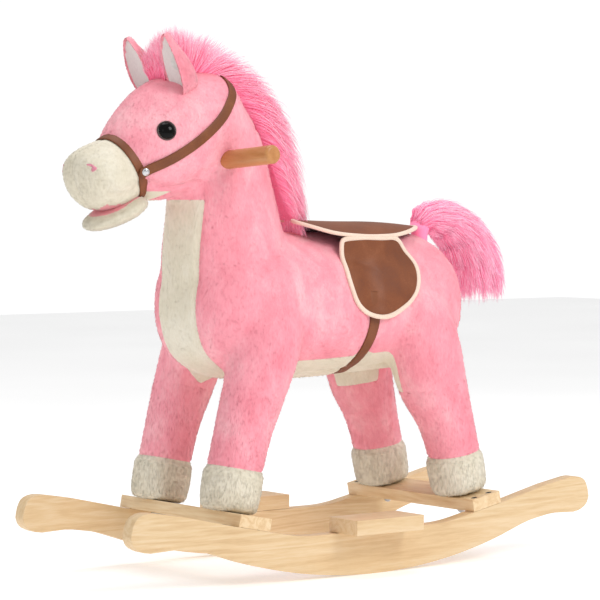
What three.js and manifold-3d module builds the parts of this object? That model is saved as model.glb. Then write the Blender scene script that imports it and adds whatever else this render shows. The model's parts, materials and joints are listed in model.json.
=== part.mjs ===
// A plush rocking horse on two wooden rockers, with a mouth that opens, a tail that wags and a sound
// button in its left ear. Millimetres. +X points to the head, +Y to the horse's left and +Z up.
// The origin is on the floor, under the middle of the rockers.
import * as THREE from "three";
import { mergeVertices } from "three/addons/utils/BufferGeometryUtils.js";
import Module from "manifold-3d";

const wasm = await Module();
wasm.setup();

// Clearances
const contactGap = 0.3; // between pieces that touch
const boreClearance = 0.3; // round a screw, bolt, pin or dowel, on the radius
const stuffingClearance = 1.5; // round the wooden frame and the boxes inside the plush
const wrapClearance = 1; // between the plush and what is strapped round it

// Rockers
const rockerLength = 700;
const rockerThickness = 18;
const rockerTrack = 232; // between the middles of the two rockers
const rockerArcRadius = 690;
const rockerCurlLength = 150; // the end beyond the arc
const rockerWaist = 52; // depth in the middle
const rampHeight = 66; // top of the rocker under the middle of a crossbar
const rampAngle = THREE.MathUtils.degToRad(11.5);

// Crossbars and footrests
const legStance = 179; // from the middle to each crossbar, along X
const crossbarWidth = 45;
const crossbarThickness = 15;
const footrestLength = 102;
const footrestWidth = 54;
const footrestThickness = 18;
const footrestCentre = 5; // ahead of the middle
const dowelRadius = 4;
const dowelDepth = 14;

// Fasteners
const screwLength = 34;
const screwRadius = 2;
const screwHeadRadius = 4;
const screwHeadDepth = 2.6;
const screwPitch = 24; // between the two screws at each end of a crossbar
const boltRadius = 4;
const boltReach = 42; // above the crossbar, into the leg post
const boltHeadRadius = 6;
const boltHeadHeight = 9;
const washerRadius = 9;
const washerThickness = 1.5;

// Wooden frame inside the plush
const legTrack = 146; // between the middles of the left and right legs
const legPostWidth = 26;
const tenonRadius = 8;
const bodyBoardFront = 172; // ahead of the middle
const bodyBoardRear = 160; // behind it
const bodyBoardWidth = 168;
const bodyBoardNose = 70; // half width of its two ends
const boardCorner = 14;
const bodyBoardThickness = 16;
const bodyBoardHeight = 290; // its underside
const neckPostDepth = 44;
const neckPostWidth = 22;
const neckPostTop = 535;
const handleRadius = 11;
const handleLength = 280;
const handlePlace = { x: 162, z: 491 };
const handleTilt = THREE.MathUtils.degToRad(3.5); // the left end stands a little higher

// Legs
const hoofRadius = 36;
const hoofHeight = 51;
const hoofBulge = 2; // how much wider a hoof is than the leg above it
const hoofRounding = 6; // of its lower edge

// Cream panel under the throat, chest and belly
const panelHalfWidth = 40;

// Saddle, girth and bridle
const leatherThickness = 2.2;
const saddleHalfWidth = 60;
const saddleFront = 46;
const saddleRear = -154;
const flapFront = 5;
const flapRear = -100;
const flapBottom = 305;
const girthWidth = 15;
const girthPlace = -31;
const bridleWidth = 13;
const rivetRadius = 4;
const rivetSeat = 1.2; // lifts its flat underside clear of the curved strap
const rivetPlace = { x: 276, z: 480 };
const nosebandPlace = { x: 283, z: 484 };
const nosebandPitch = 28; // how far its plane leans back from upright, in degrees
const poll = { x: 150, z: 572 };
const strapEnd = 8; // how far the head strap runs on past each rivet
const strapOverrun = 100; // how far its cutting band runs on past the poll
const eyePlace = { x: 252, z: 527 };

// Mouth, tail and sound button
const jawHinge = { x: 264, z: 460 };
const jawClosing = 9; // degrees from the open rest to the closed stop
const jawPinRadius = 2;
const jawPinLength = 46;
const jawArm = { width: 12, thickness: 5, reach: 18, drop: 18 }; // from the pin to the tongue
const tailAxis = -172;
const tailPinRadius = 3;
const tailPinReach = 44; // above its motor box, into the tail
const tailPinSeat = 20; // inside the box
const motorBoxSize = new THREE.Vector3(44, 40, 46);
const motorCheek = 8; // thickness of each cheek that holds the jaw pin
const tailBoxSize = new THREE.Vector3(44, 48, 66);
const batteryBoxSize = new THREE.Vector3(72, 66, 24);
const batteryPlace = -35; // along X
const buttonCaseRadius = 11;
const buttonCaseDepth = 4;
const buttonCapRadius = 7.5;
const buttonCapHeight = 2.4;
const buttonOut = 1.5; // how far the cap's middle stands ahead of its case's middle
const eyeRadius = 11.5;
const tailClearance = 2.5;

// Ears and mane
const earHeight = 74;
const earWidth = 38;
const earThickness = 16;
const earPlace = { x: 226, y: 37, z: 606 };
const earSplay = THREE.MathUtils.degToRad(4);
const earNod = THREE.MathUtils.degToRad(24);
const earTurn = THREE.MathUtils.degToRad(6);
const maneWidth = 32;
const maneLift = 0.5; // above the head strap, which runs under it

const SIDES = 16; // round the plush bodies
const ROUND = 12; // round the small turned pieces
const LARGE = 2000; // longer than the whole horse, for cutting solids

// Materials
function material(colour, roughness, metalness = 0) {
  return new THREE.MeshStandardMaterial({ color: colour, roughness, metalness });
}
const pine = () => material(0xdcbf8c, 0.6);
const hiddenWood = () => material(0xb98f5d, 0.8);
const dowelWood = () => material(0xb9783f, 0.35);
const pinkPlush = () => material(0xf7a3b4, 0.95);
const creamPlush = () => material(0xe9dfc4, 0.95);
const hairPlush = () => material(0xf06fa6, 0.9);
const leather = () => material(0x7d4524, 0.5);
const steel = () => material(0xb9bcc0, 0.3, 1);
const darkSteel = () => material(0x3a3a3c, 0.45, 1);
const casePlastic = () => material(0xd8d8d4, 0.5);
const eyePlastic = () => material(0x080606, 0.08);

// Solids: a three.js geometry, placed by a matrix, becomes a manifold-3d solid and comes back from one.
function solidOf(geometry, place = new THREE.Matrix4()) {
  const copy = geometry.index ? geometry.toNonIndexed() : geometry.clone();
  const bare = new THREE.BufferGeometry();
  bare.setAttribute("position", copy.getAttribute("position"));
  bare.applyMatrix4(place);
  const merged = mergeVertices(bare, 1e-4);
  return new wasm.Manifold(new wasm.Mesh({
    numProp: 3,
    vertProperties: merged.attributes.position.array,
    triVerts: new Uint32Array(merged.index.array),
  }));
}

function geometryOf(solid) {
  const mesh = solid.getMesh();
  const geometry = new THREE.BufferGeometry();
  geometry.setAttribute("position", new THREE.BufferAttribute(mesh.vertProperties, 3));
  geometry.setIndex(new THREE.BufferAttribute(mesh.triVerts, 1));
  const flat = geometry.toNonIndexed();
  flat.computeVertexNormals();
  return flat;
}

function at(x, y, z, turn = new THREE.Euler()) {
  const place = new THREE.Matrix4().makeRotationFromEuler(turn);
  return place.setPosition(x, y, z);
}

function box(size, centre, turn) {
  return solidOf(new THREE.BoxGeometry(size[0], size[1], size[2]), at(...centre, turn));
}

// A rod along Z from one height to another.
function rod(radius, x, y, bottom, top, sides = ROUND) {
  const cylinder = new THREE.CylinderGeometry(radius, radius, top - bottom, sides);
  cylinder.rotateX(Math.PI / 2);
  return solidOf(cylinder, at(x, y, (bottom + top) / 2));
}

// A rod along Y, centred on y.
function crossRod(radius, length, x, y, z, tilt = 0) {
  const cylinder = new THREE.CylinderGeometry(radius, radius, length, ROUND);
  return solidOf(cylinder, at(x, y, z, new THREE.Euler(tilt, 0, 0)));
}

// An outline in X and Z, extruded along Y between two places.
function slab(points, from, to) {
  const shape = new THREE.Shape(points.map(([x, z]) => new THREE.Vector2(x, z)));
  const prism = new THREE.ExtrudeGeometry(shape, { depth: to - from, bevelEnabled: false, steps: 1 });
  return solidOf(prism, at(0, to, 0, new THREE.Euler(Math.PI / 2, 0, 0)));
}

// A closed stuffed body. Each station is [x, z, half depth, half width, lean]: the middle of a ring, its
// half size in the plane of symmetry, its half size across it, and how far the ring leans from level.
// A fullness of 2 makes the rings ellipses, and more makes them squarer.
function stuffed(stations, grow = 0, rings = 16, fullness = 2) {
  const readers = stations[0].map((_, k) => {
    return new THREE.SplineCurve(stations.map((station, i) => new THREE.Vector2(i, station[k])));
  });
  const cylinder = new THREE.CylinderGeometry(1, 1, 1, SIDES, rings, false);
  const position = cylinder.getAttribute("position");
  for (let i = 0; i < position.count; i++) {
    const along = 0.5 - position.getY(i);
    const [x, z, halfDepth, halfWidth, leanDegrees] = readers.map((curve) => curve.getPoint(along).y);
    const lean = THREE.MathUtils.degToRad(leanDegrees);
    const full = (share) => Math.sign(share) * Math.abs(share) ** (2 / fullness);
    const depth = full(position.getX(i)) * (halfDepth + grow);
    const end = grow * Math.sign(Math.round(along * 1000) - 500) * Number(along < 1e-6 || along > 1 - 1e-6);
    position.setXYZ(
      i,
      x + depth * Math.cos(lean) - end * Math.sin(lean),
      full(position.getZ(i)) * (halfWidth + grow),
      z + depth * Math.sin(lean) + end * Math.cos(lean),
    );
  }
  return solidOf(cylinder);
}

const horse = new THREE.Group();

function add(name, solid, finish, parent = horse) {
  const mesh = new THREE.Mesh(geometryOf(solid), finish);
  mesh.name = name;
  parent.add(mesh);
  return mesh;
}

// Rockers: the underside is an arc with a curl at each end, and the top has a ramp for each crossbar.
function rockerOutline() {
  const half = rockerLength / 2;
  const arcEnd = half - rockerCurlLength;
  const arcSpan = Math.asin(arcEnd / rockerArcRadius);
  const curlBase = rockerArcRadius * (1 - Math.cos(arcSpan));
  const curl = (points) => new THREE.SplineCurve(points.map(([back, up]) => {
    return new THREE.Vector2(half - back, curlBase + up);
  }));
  const slope = Math.tan(rampAngle);
  const rampEnd = legStance + crossbarWidth / 2 + 6;
  const ramp = (x) => rampHeight + slope * (x - legStance);
  const rampStart = legStance - (rampHeight - rockerWaist) / slope;
  const arc = new THREE.EllipseCurve(
    0, rockerArcRadius, rockerArcRadius, rockerArcRadius, -Math.PI / 2, -Math.PI / 2 + arcSpan,
  );
  const underCurl = curl([[150, 0], [109, 13.5], [84, 18.5], [60, 21.5], [25, 20.5], [10, 25], [3, 31], [0, 39]]);
  const overCurl = curl([[0, 39], [3, 52.5], [10, 62], [25, 65.5], [47, 62.5], [73, 58]]);
  const fillet = new THREE.QuadraticBezierCurve(
    new THREE.Vector2(rampStart + 22, ramp(rampStart + 22)),
    new THREE.Vector2(rampStart, rockerWaist),
    new THREE.Vector2(rampStart - 22, rockerWaist),
  );
  const right = [
    ...arc.getPoints(12),
    ...underCurl.getPoints(16).slice(1),
    ...overCurl.getPoints(12).slice(1),
    new THREE.Vector2(rampEnd, ramp(rampEnd)),
    ...fillet.getPoints(5),
  ].map((point) => [point.x, point.y]);
  const left = right.slice(1).reverse().map(([x, z]) => [-x, z]);
  return [...right, ...left];
}

const rockerTop = rockerWaist + contactGap;
const screwPlaces = [-1, 1].map((way) => (way * screwPitch) / 2);
const outerWidth = rockerTrack + rockerThickness;
const sides = [{ name: "left", y: 1 }, { name: "right", y: -1 }];
const ends = [{ name: "front", x: 1 }, { name: "rear", x: -1 }];

// Each end of the base has its own tilted frame: its origin is on the ramps, under the crossbar's middle.
const endFrames = ends.map((end) => {
  const frame = new THREE.Group();
  frame.position.set(end.x * legStance, 0, rampHeight);
  frame.rotation.y = -end.x * rampAngle;
  frame.updateMatrixWorld(true);
  horse.add(frame);
  return frame;
});
const crossbarTop = contactGap + crossbarThickness;

function screwHole(x, y, bottom, frame) {
  const shank = rod(screwRadius + boreClearance, x, y, bottom, crossbarTop + 1, 8);
  return shank.transform(frame.matrixWorld.elements);
}

const footrestDowels = [-1, 1].map((way) => footrestCentre + (way * footrestLength) / 4);
for (const side of sides) {
  const middle = (side.y * rockerTrack) / 2;
  let rocker = slab(rockerOutline(), middle - rockerThickness / 2, middle + rockerThickness / 2);
  for (const frame of endFrames) {
    for (const x of screwPlaces) {
      rocker = rocker.subtract(screwHole(x, middle, crossbarTop - screwLength - 1, frame));
    }
  }
  for (const x of footrestDowels) {
    rocker = rocker.subtract(rod(
      dowelRadius + boreClearance, x, middle, rockerTop - dowelDepth - 1, rockerTop + 1,
    ));
  }
  add(`${side.name}_rocker`, rocker, pine());

  // A footrest is flush with its rocker's inner face and overhangs the outer one.
  const footrestMiddle = side.y * ((rockerTrack - rockerThickness + footrestWidth) / 2);
  let footrest = box(
    [footrestLength, footrestWidth, footrestThickness],
    [footrestCentre, footrestMiddle, rockerTop + footrestThickness / 2],
  );
  for (const x of footrestDowels) {
    footrest = footrest.add(rod(dowelRadius, x, middle, rockerTop - dowelDepth, rockerTop + 1));
  }
  add(`${side.name}_footrest`, footrest, pine());
}

// Turned fasteners: half profiles from the bottom of the axis to its top.
function turned(profile, segments = ROUND) {
  const lathe = new THREE.LatheGeometry(profile.map(([r, z]) => new THREE.Vector2(r, z)), segments);
  lathe.rotateX(Math.PI / 2);
  return solidOf(lathe);
}

const screwSolid = turned([
  [0, -screwLength],
  [screwRadius, 3 - screwLength],
  [screwRadius, -screwHeadDepth],
  [screwHeadRadius, -0.3],
  [screwHeadRadius, 0],
  [0, 0],
], 8);
const boltSolid = turned([
  [0, -washerThickness - boltHeadHeight],
  [boltHeadRadius * 0.7, -washerThickness - boltHeadHeight * 0.85],
  [boltHeadRadius, -washerThickness - boltHeadHeight * 0.45],
  [boltHeadRadius, -washerThickness],
  [washerRadius, -washerThickness],
  [washerRadius, 0],
  [boltRadius, 0],
  [boltRadius, contactGap + crossbarTop + boltReach],
  [0, contactGap + crossbarTop + boltReach],
], 10);

// The board that carries the body sits on the tenons of the four leg posts.
const boardTop = bodyBoardHeight + bodyBoardThickness;
const neckPostPlace = handlePlace.x - 10;
// Its corners are cut back, because the body rounds off there.
function boardSolid(grow) {
  const front = bodyBoardFront + grow;
  const rear = -bodyBoardRear - grow;
  const side = bodyBoardWidth / 2 + grow;
  const nose = bodyBoardNose + grow;
  const outline = [
    [front, -nose], [front, nose], [front - boardCorner, side], [rear + boardCorner, side],
    [rear, nose], [rear, -nose], [rear + boardCorner, -side], [front - boardCorner, -side],
  ].map(([x, y]) => new THREE.Vector2(x, y));
  const depth = bodyBoardThickness + 2 * grow;
  const board = new THREE.ExtrudeGeometry(new THREE.Shape(outline), { depth, bevelEnabled: false });
  return solidOf(board, at(0, 0, bodyBoardHeight - grow));
}
let bodyBoard = boardSolid(0);
const innerFrame = []; // what the stuffing makes room for
const under = (height) => box([LARGE, LARGE, LARGE], [0, 0, height - LARGE / 2]);

function legPost(grow) {
  const width = legPostWidth + 2 * grow;
  return box([width, width, LARGE / 4], [0, 0, crossbarTop + contactGap + LARGE / 8]);
}

ends.forEach((end, i) => {
  const frame = endFrames[i];
  const toWorld = frame.matrixWorld.elements;
  const toFrame = frame.matrixWorld.clone().invert().elements;
  let crossbar = box(
    [crossbarWidth, outerWidth, crossbarThickness],
    [0, 0, contactGap + crossbarThickness / 2],
  );
  for (const side of sides) {
    screwPlaces.forEach((x, k) => {
      const y = (side.y * rockerTrack) / 2;
      crossbar = crossbar.subtract(rod(screwRadius + boreClearance, x, y, -1, crossbarTop + 1, 8));
      const sink = turned([
        [0, -screwHeadDepth - 2 * boreClearance],
        [screwRadius + boreClearance, -screwHeadDepth - boreClearance],
        [screwHeadRadius + boreClearance, -0.3 - boreClearance],
        [screwHeadRadius + boreClearance, 1],
        [0, 1],
      ], 8);
      crossbar = crossbar.subtract(sink.translate([x, y, crossbarTop]));
      const place = (end.x * x > 0) ? "outer" : "inner";
      const screw = add(`${end.name}_${side.name}_${place}_screw`, screwSolid, darkSteel(), frame);
      screw.position.set(x, y, crossbarTop);
    });

    const y = (side.y * legTrack) / 2;
    const name = `${end.name}_${side.name}`;
    crossbar = crossbar.subtract(rod(boltRadius + boreClearance, 0, y, -1, crossbarTop + 1));
    const bolt = add(`${name}_leg_bolt`, boltSolid, steel(), frame);
    bolt.position.set(0, y, 0);

    const tenon = rod(tenonRadius, 0, y, crossbarTop + 40, LARGE / 4);
    const tenonHole = rod(tenonRadius + boreClearance, 0, y, crossbarTop + 40, LARGE / 4);
    const boreTop = crossbarTop + boltReach + 2;
    const post = legPost(0).translate([0, y, 0]).transform(toWorld)
      .intersect(under(bodyBoardHeight - contactGap))
      .add(tenon.transform(toWorld).intersect(under(boardTop)))
      .transform(toFrame)
      .subtract(rod(boltRadius + boreClearance, 0, y, 0, boreTop));
    add(`${name}_leg_post`, post, hiddenWood(), frame);
    bodyBoard = bodyBoard.subtract(tenonHole.transform(toWorld));
    innerFrame.push(
      legPost(stuffingClearance).translate([0, y, 0]).transform(toWorld)
        .intersect(under(bodyBoardHeight)),
    );
  }
  add(`${end.name}_crossbar`, crossbar, pine(), frame);
});

// Stuffed body, from the chest to the rump, and the neck that rises from it.
const torsoStations = [
  [208, 322, 26, 30, 90],
  [193, 321, 62, 58, 90],
  [150, 320, 88, 84, 90],
  [90, 320, 92, 94, 90],
  [0, 321, 89, 98, 90],
  [-80, 324, 87, 98, 90],
  [-145, 324, 84, 90, 90],
  [-185, 316, 68, 70, 90],
  [-208, 306, 32, 36, 90],
];
const neckStations = [
  [112, 300, 98, 84, 0],
  [124, 362, 90, 80, 6],
  [131, 425, 80, 66, 10],
  [137, 480, 70, 55, 10],
  [142, 530, 58, 50, 12],
  [150, 570, 38, 38, 14],
];
const headStations = [
  [124, 566, 22, 20, -118],
  [136, 559, 48, 42, -118],
  [174, 540, 67, 58, -118],
  [218, 519, 71, 63, -118],
  [258, 497, 57, 55, -119],
  [286, 483, 40, 44, -119],
  [310, 475, 41, 48, -119],
  [334, 467, 34, 41, -116],
  [341, 463, 15, 20, -114],
];
const body = (grow) => stuffed(torsoStations, grow, 14, 2.3).add(stuffed(neckStations, grow, 8));
const skull = (grow) => stuffed(headStations, grow, 14);
const bodyGrown = body(contactGap);
const bodyAndSkull = (grow) => body(grow).add(skull(grow));

// Legs, in the tilted frames: [place along X, height, half depth, half width, lean].
const hoofBottom = crossbarTop + contactGap;
const hoofTop = hoofBottom + hoofHeight;
const legStations = {
  front: [
    [6, hoofTop + contactGap, 34, 34, 0],
    [2, 110, 35, 35, 0],
    [-4, 150, 39, 38, 0],
    [-12, 200, 42, 42, 0],
    [-18, 240, 42, 38, 0],
  ],
  rear: [
    [0, hoofTop + contactGap, 34, 34, 0],
    [-4, 110, 37, 35, 0],
    [-12, 150, 46, 40, 0],
    [-15, 200, 47, 45, 0],
    [-16, 250, 46, 42, 0],
  ],
};
const hoofStations = [
  [0, hoofBottom, hoofRadius - hoofRounding, hoofRadius - hoofRounding, 0],
  [0, hoofBottom + 1.5 * hoofRounding, hoofRadius, hoofRadius, 0],
  [0, hoofBottom + hoofHeight / 2, hoofRadius, hoofRadius, 0],
  [0, hoofTop, hoofRadius - hoofBulge, hoofRadius - hoofBulge, 0],
];
// Neck post, handle and body board. The post's tenon goes through the board.
const neckTenonDepth = neckPostDepth / 2;
const neckPostBox = (grow, bottom) => box(
  [neckPostDepth + 2 * grow, neckPostWidth + 2 * grow, neckPostTop + grow - bottom],
  [neckPostPlace, 0, (neckPostTop + grow + bottom) / 2],
);
const handleBore = crossRod(handleRadius + boreClearance, LARGE, handlePlace.x, 0, handlePlace.z, handleTilt);
const neckPost = neckPostBox(0, boardTop + contactGap)
  .add(box([neckTenonDepth, neckPostWidth, 40], [neckPostPlace, 0, boardTop - 19]).subtract(
    under(bodyBoardHeight),
  ))
  .subtract(handleBore);
bodyBoard = bodyBoard.subtract(box(
  [neckTenonDepth + 2 * boreClearance, neckPostWidth + 2 * boreClearance, LARGE],
  [neckPostPlace, 0, boardTop],
));
add("body_board", bodyBoard, hiddenWood());
add("neck_post", neckPost, hiddenWood());
const handle = crossRod(handleRadius, handleLength, 0, 0, 0);
const handleMesh = add("handle_bar", handle, dowelWood());
handleMesh.position.set(handlePlace.x, 0, handlePlace.z);
handleMesh.rotation.x = handleTilt;
innerFrame.push(
  neckPostBox(stuffingClearance, boardTop - 1),
  boardSolid(stuffingClearance),
);

// A box inside the plush, made as a mesh with its own place, and the room it takes in the stuffing.
function insideBox(name, size, centre, carve = (solid) => solid) {
  const solid = carve(box(size.toArray(), centre.toArray()));
  const mesh = add(name, solid.translate(centre.clone().negate().toArray()), casePlastic());
  mesh.position.copy(centre);
  const cavity = size.clone().addScalar(2 * stuffingClearance);
  innerFrame.push(box(cavity.toArray(), centre.toArray()));
}

// Mouth motor on the front of the neck post; its cheeks carry the jaw's pin.
const jawPin = crossRod(jawPinRadius, jawPinLength, 0, 0, 0);
const jawPinMesh = add("jaw_pin", jawPin, steel());
jawPinMesh.position.set(jawHinge.x, 0, jawHinge.z);
const motorFront = jawHinge.x - 14;
const motorBack = neckPostPlace + neckPostDepth / 2 + contactGap;
const motorSize = new THREE.Vector3(motorFront - motorBack, motorBoxSize.y, motorBoxSize.z);
const motorCentre = new THREE.Vector3((motorFront + motorBack) / 2, 0, jawHinge.z + 20);
const cheekGap = motorBoxSize.y - 2 * motorCheek;
insideBox("mouth_motor_box", motorSize, motorCentre, (solid) => {
  const arm = box([26, motorBoxSize.y, 10], [jawHinge.x - 7, 0, jawHinge.z]);
  const slot = box([60, cheekGap, 60], [jawHinge.x + 14, 0, jawHinge.z]);
  const bore = crossRod(jawPinRadius + boreClearance, LARGE, jawHinge.x, 0, jawHinge.z);
  return solid.add(arm).subtract(slot).subtract(bore);
});
innerFrame.push(
  box([34, jawPinLength + 2 * stuffingClearance, 22], [jawHinge.x - 6, 0, jawHinge.z]),
  box([34, jawArm.width + 8, 26], [jawHinge.x + 16, 0, jawHinge.z - 9]),
);

// Tail motor at the rear of the body board, with the pin that the tail turns on.
const tailBoxTop = boardTop + contactGap + tailBoxSize.z;
const tailBoxPlace = tailAxis + 12;
insideBox("tail_motor_box", tailBoxSize, new THREE.Vector3(
  tailBoxPlace, 0, boardTop + contactGap + tailBoxSize.z / 2,
), (solid) => solid.subtract(rod(tailPinRadius + boreClearance, tailAxis, 0, tailBoxTop - tailPinSeat - 1, LARGE / 2)));
const tailPinTop = tailBoxTop + tailPinReach;
const tailPin = add("tail_pin", rod(tailPinRadius, 0, 0, -tailPinSeat - tailPinReach, 0), steel());
tailPin.position.set(tailAxis, 0, tailPinTop);
innerFrame.push(rod(tailPinRadius + stuffingClearance, tailAxis, 0, tailBoxTop - 1, LARGE / 2));

// Battery box under the body board; its lid faces down, through an opening in the belly.
insideBox("battery_box", batteryBoxSize, new THREE.Vector3(
  batteryPlace, 0, bodyBoardHeight - contactGap - batteryBoxSize.z / 2,
));
innerFrame.push(box(
  [batteryBoxSize.x - 6, batteryBoxSize.y - 6, LARGE / 8],
  [batteryPlace, 0, bodyBoardHeight - LARGE / 16],
));

const room = wasm.Manifold.union(innerFrame);
ends.forEach((end, i) => {
  const frame = endFrames[i];
  const toWorld = frame.matrixWorld.elements;
  const toFrame = frame.matrixWorld.clone().invert().elements;
  const bore = legPost(stuffingClearance).translate([0, 0, -5]);
  const hoofShift = legStations[end.name][0][0] * end.x;
  const hoof = stuffed(hoofStations, 0, 6).translate([hoofShift, 0, 0]).subtract(bore);
  const stations = legStations[end.name].map(([x, ...rest]) => [x * end.x, ...rest]);
  for (const side of sides) {
    const y = (side.y * legTrack) / 2;
    const leg = stuffed(stations, 0, 8).subtract(bore).translate([0, y, 0])
      .transform(toWorld).subtract(bodyGrown).subtract(room).transform(toFrame);
    add(`${end.name}_${side.name}_leg`, leg, pinkPlush(), frame);
    add(`${end.name}_${side.name}_hoof`, hoof, creamPlush(), frame).position.y = y;
  }
});

// The chest and belly panel: a cream strip along the front and the underside of the body.
const panelOutline = [
  [260, 446], [196, 446], [194, 380], [192, 330], [176, 282], [150, 262], [60, 254], [-120, 262],
  [-120, 150], [260, 150],
];
const panelCutter = (grow) => slab(panelOutline, -panelHalfWidth - grow, panelHalfWidth + grow);
const bodySolid = body(0).subtract(room).subtract(handleBore);
add("chest_and_belly_panel", bodySolid.intersect(panelCutter(-contactGap)), creamPlush());
add("body", bodySolid.subtract(panelCutter(0)), pinkPlush());

// Lower jaw: a plush pad on a plastic tongue that swings on the jaw pin. Modelled open, as it rests.
const jawStations = [
  [267, 437, 5, 18, -110],
  [274, 435, 9, 25, -110],
  [291, 427, 10, 29, -105],
  [306, 422, 8, 25, -100],
  [318, 421, 4, 13, -95],
];
const tongueLean = new THREE.Euler(0, THREE.MathUtils.degToRad(13), 0);
const armAngle = Math.atan2(jawArm.drop, jawArm.reach);
function jawFrameSolid(grow) {
  const wide = jawArm.width + 2 * grow;
  const hub = crossRod(6 + grow, cheekGap - 1.2 + 2 * grow, jawHinge.x, 0, jawHinge.z);
  const arm = box(
    [Math.hypot(jawArm.reach, jawArm.drop) + 2 * grow, wide, jawArm.thickness + 2 * grow],
    [jawHinge.x + jawArm.reach / 2, 0, jawHinge.z - jawArm.drop / 2],
    new THREE.Euler(0, armAngle, 0),
  );
  const tongue = box([30 + 2 * grow, 22 + 2 * grow, 3 + 2 * grow], [290, 0, 428], tongueLean);
  const shank = box([6 + 2 * grow, wide, 16 + 2 * grow], [jawHinge.x + jawArm.reach, 0, 436]);
  return hub.add(arm).add(shank).add(tongue);
}
const aboutHinge = (solid, degrees) => solid
  .translate([-jawHinge.x, 0, -jawHinge.z]).rotate([0, -degrees, 0]).translate([jawHinge.x, 0, jawHinge.z]);
const jawFrame = jawFrameSolid(0)
  .subtract(crossRod(jawPinRadius + boreClearance, LARGE, jawHinge.x, 0, jawHinge.z));
add("jaw_frame", jawFrame, casePlastic());
const lowerJaw = stuffed(jawStations, 0, 8);
add("lower_jaw", lowerJaw.subtract(jawFrameSolid(contactGap)), creamPlush());
const jawGrown = stuffed(jawStations, 1.2, 8);
const jawSweep = wasm.Manifold.union([0, 1 / 3, 2 / 3, 1].map((share) => {
  return aboutHinge(jawGrown, share * jawClosing);
}));

// Head and muzzle, sewn together in the plane of the noseband.
const beyondNoseband = (gap) => box([LARGE, LARGE, LARGE], [LARGE / 2 + gap, 0, 0])
  .rotate([0, nosebandPitch, 0]).translate([nosebandPlace.x, 0, nosebandPlace.z]);
let head = skull(0).subtract(bodyGrown).subtract(room).subtract(jawSweep).subtract(handleBore);

// How far out a plush surface is at a place seen from the side.
function surfaceAt(host, place) {
  return host.intersect(crossRod(0.5, LARGE, place.x, 0, place.z)).boundingBox().max[1];
}

// Bridle: a noseband round the head, and a strap from rivet to rivet over the poll.
const shell = (host, inner, outer) => host(outer).subtract(host(inner));
const bandSlab = (centre, pitch, reach) => box([bridleWidth, LARGE, reach], [0, 0, 0])
  .rotate([0, pitch, 0]).translate([centre.x, 0, centre.z]);
const wrapOuter = wrapClearance + leatherThickness;
const lapInner = wrapOuter + contactGap;
const lapOuter = lapInner + leatherThickness;
let noseband = shell(skull, wrapClearance, wrapOuter).intersect(bandSlab(nosebandPlace, nosebandPitch, LARGE));
const strapRun = { x: poll.x - rivetPlace.x, z: poll.z - rivetPlace.z };
const strapRise = Math.hypot(strapRun.x, strapRun.z);
const strapPitch = THREE.MathUtils.radToDeg(Math.atan2(strapRun.x, strapRun.z));
const strapReach = strapRise + strapEnd + strapOverrun;
const strapShare = (strapReach / 2 - strapEnd) / strapRise;
const strapMiddle = { x: rivetPlace.x + strapShare * strapRun.x, z: rivetPlace.z + strapShare * strapRun.z };
let headStrap = shell(bodyAndSkull, lapInner, lapOuter)
  .intersect(bandSlab(strapMiddle, strapPitch, strapReach));

// Rivets hold the strap's two ends to the noseband and the head.
const rivetSide = surfaceAt(skull(lapOuter), rivetPlace) + rivetSeat;
const rivetShank = 1.4;
const rivetSolid = turned([
  [0, -12],
  [rivetShank, -12],
  [rivetShank, contactGap],
  [rivetRadius, contactGap],
  [rivetRadius * 0.8, contactGap + 1.2],
  [0, contactGap + 1.8],
], 10);
const eyeSide = surfaceAt(skull(0), eyePlace);
const eyeSolid = turned([
  [0, -14],
  [2, -14],
  [2, contactGap],
  [eyeRadius, contactGap],
  [eyeRadius * 0.9, 3.2],
  [eyeRadius * 0.55, 6],
  [0, 7],
], 14);
for (const side of sides) {
  const outward = new THREE.Euler((-side.y * Math.PI) / 2, 0, 0);
  const rivetHole = crossRod(rivetShank + boreClearance, 40, rivetPlace.x, side.y * rivetSide, rivetPlace.z);
  noseband = noseband.subtract(rivetHole);
  headStrap = headStrap.subtract(rivetHole);
  head = head.subtract(rivetHole);
  const rivet = add(`${side.name}_rivet`, rivetSolid, steel());
  rivet.position.set(rivetPlace.x, side.y * rivetSide, rivetPlace.z);
  rivet.rotation.copy(outward);

  const socket = crossRod(2 + boreClearance, 40, eyePlace.x, side.y * eyeSide, eyePlace.z);
  const flat = box([2 * eyeRadius + 2, 40, 2 * eyeRadius + 2], [eyePlace.x, side.y * (eyeSide + 20), eyePlace.z]);
  head = head.subtract(socket).subtract(flat);
  const eye = add(`${side.name}_eye`, eyeSolid, eyePlastic());
  eye.position.set(eyePlace.x, side.y * eyeSide, eyePlace.z);
  eye.rotation.copy(outward);
}
add("noseband", noseband, leather());
add("head_strap", headStrap, leather());
add("head", head.subtract(beyondNoseband(-contactGap)), pinkPlush());
add("muzzle", head.intersect(beyondNoseband(0)), creamPlush());

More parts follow.
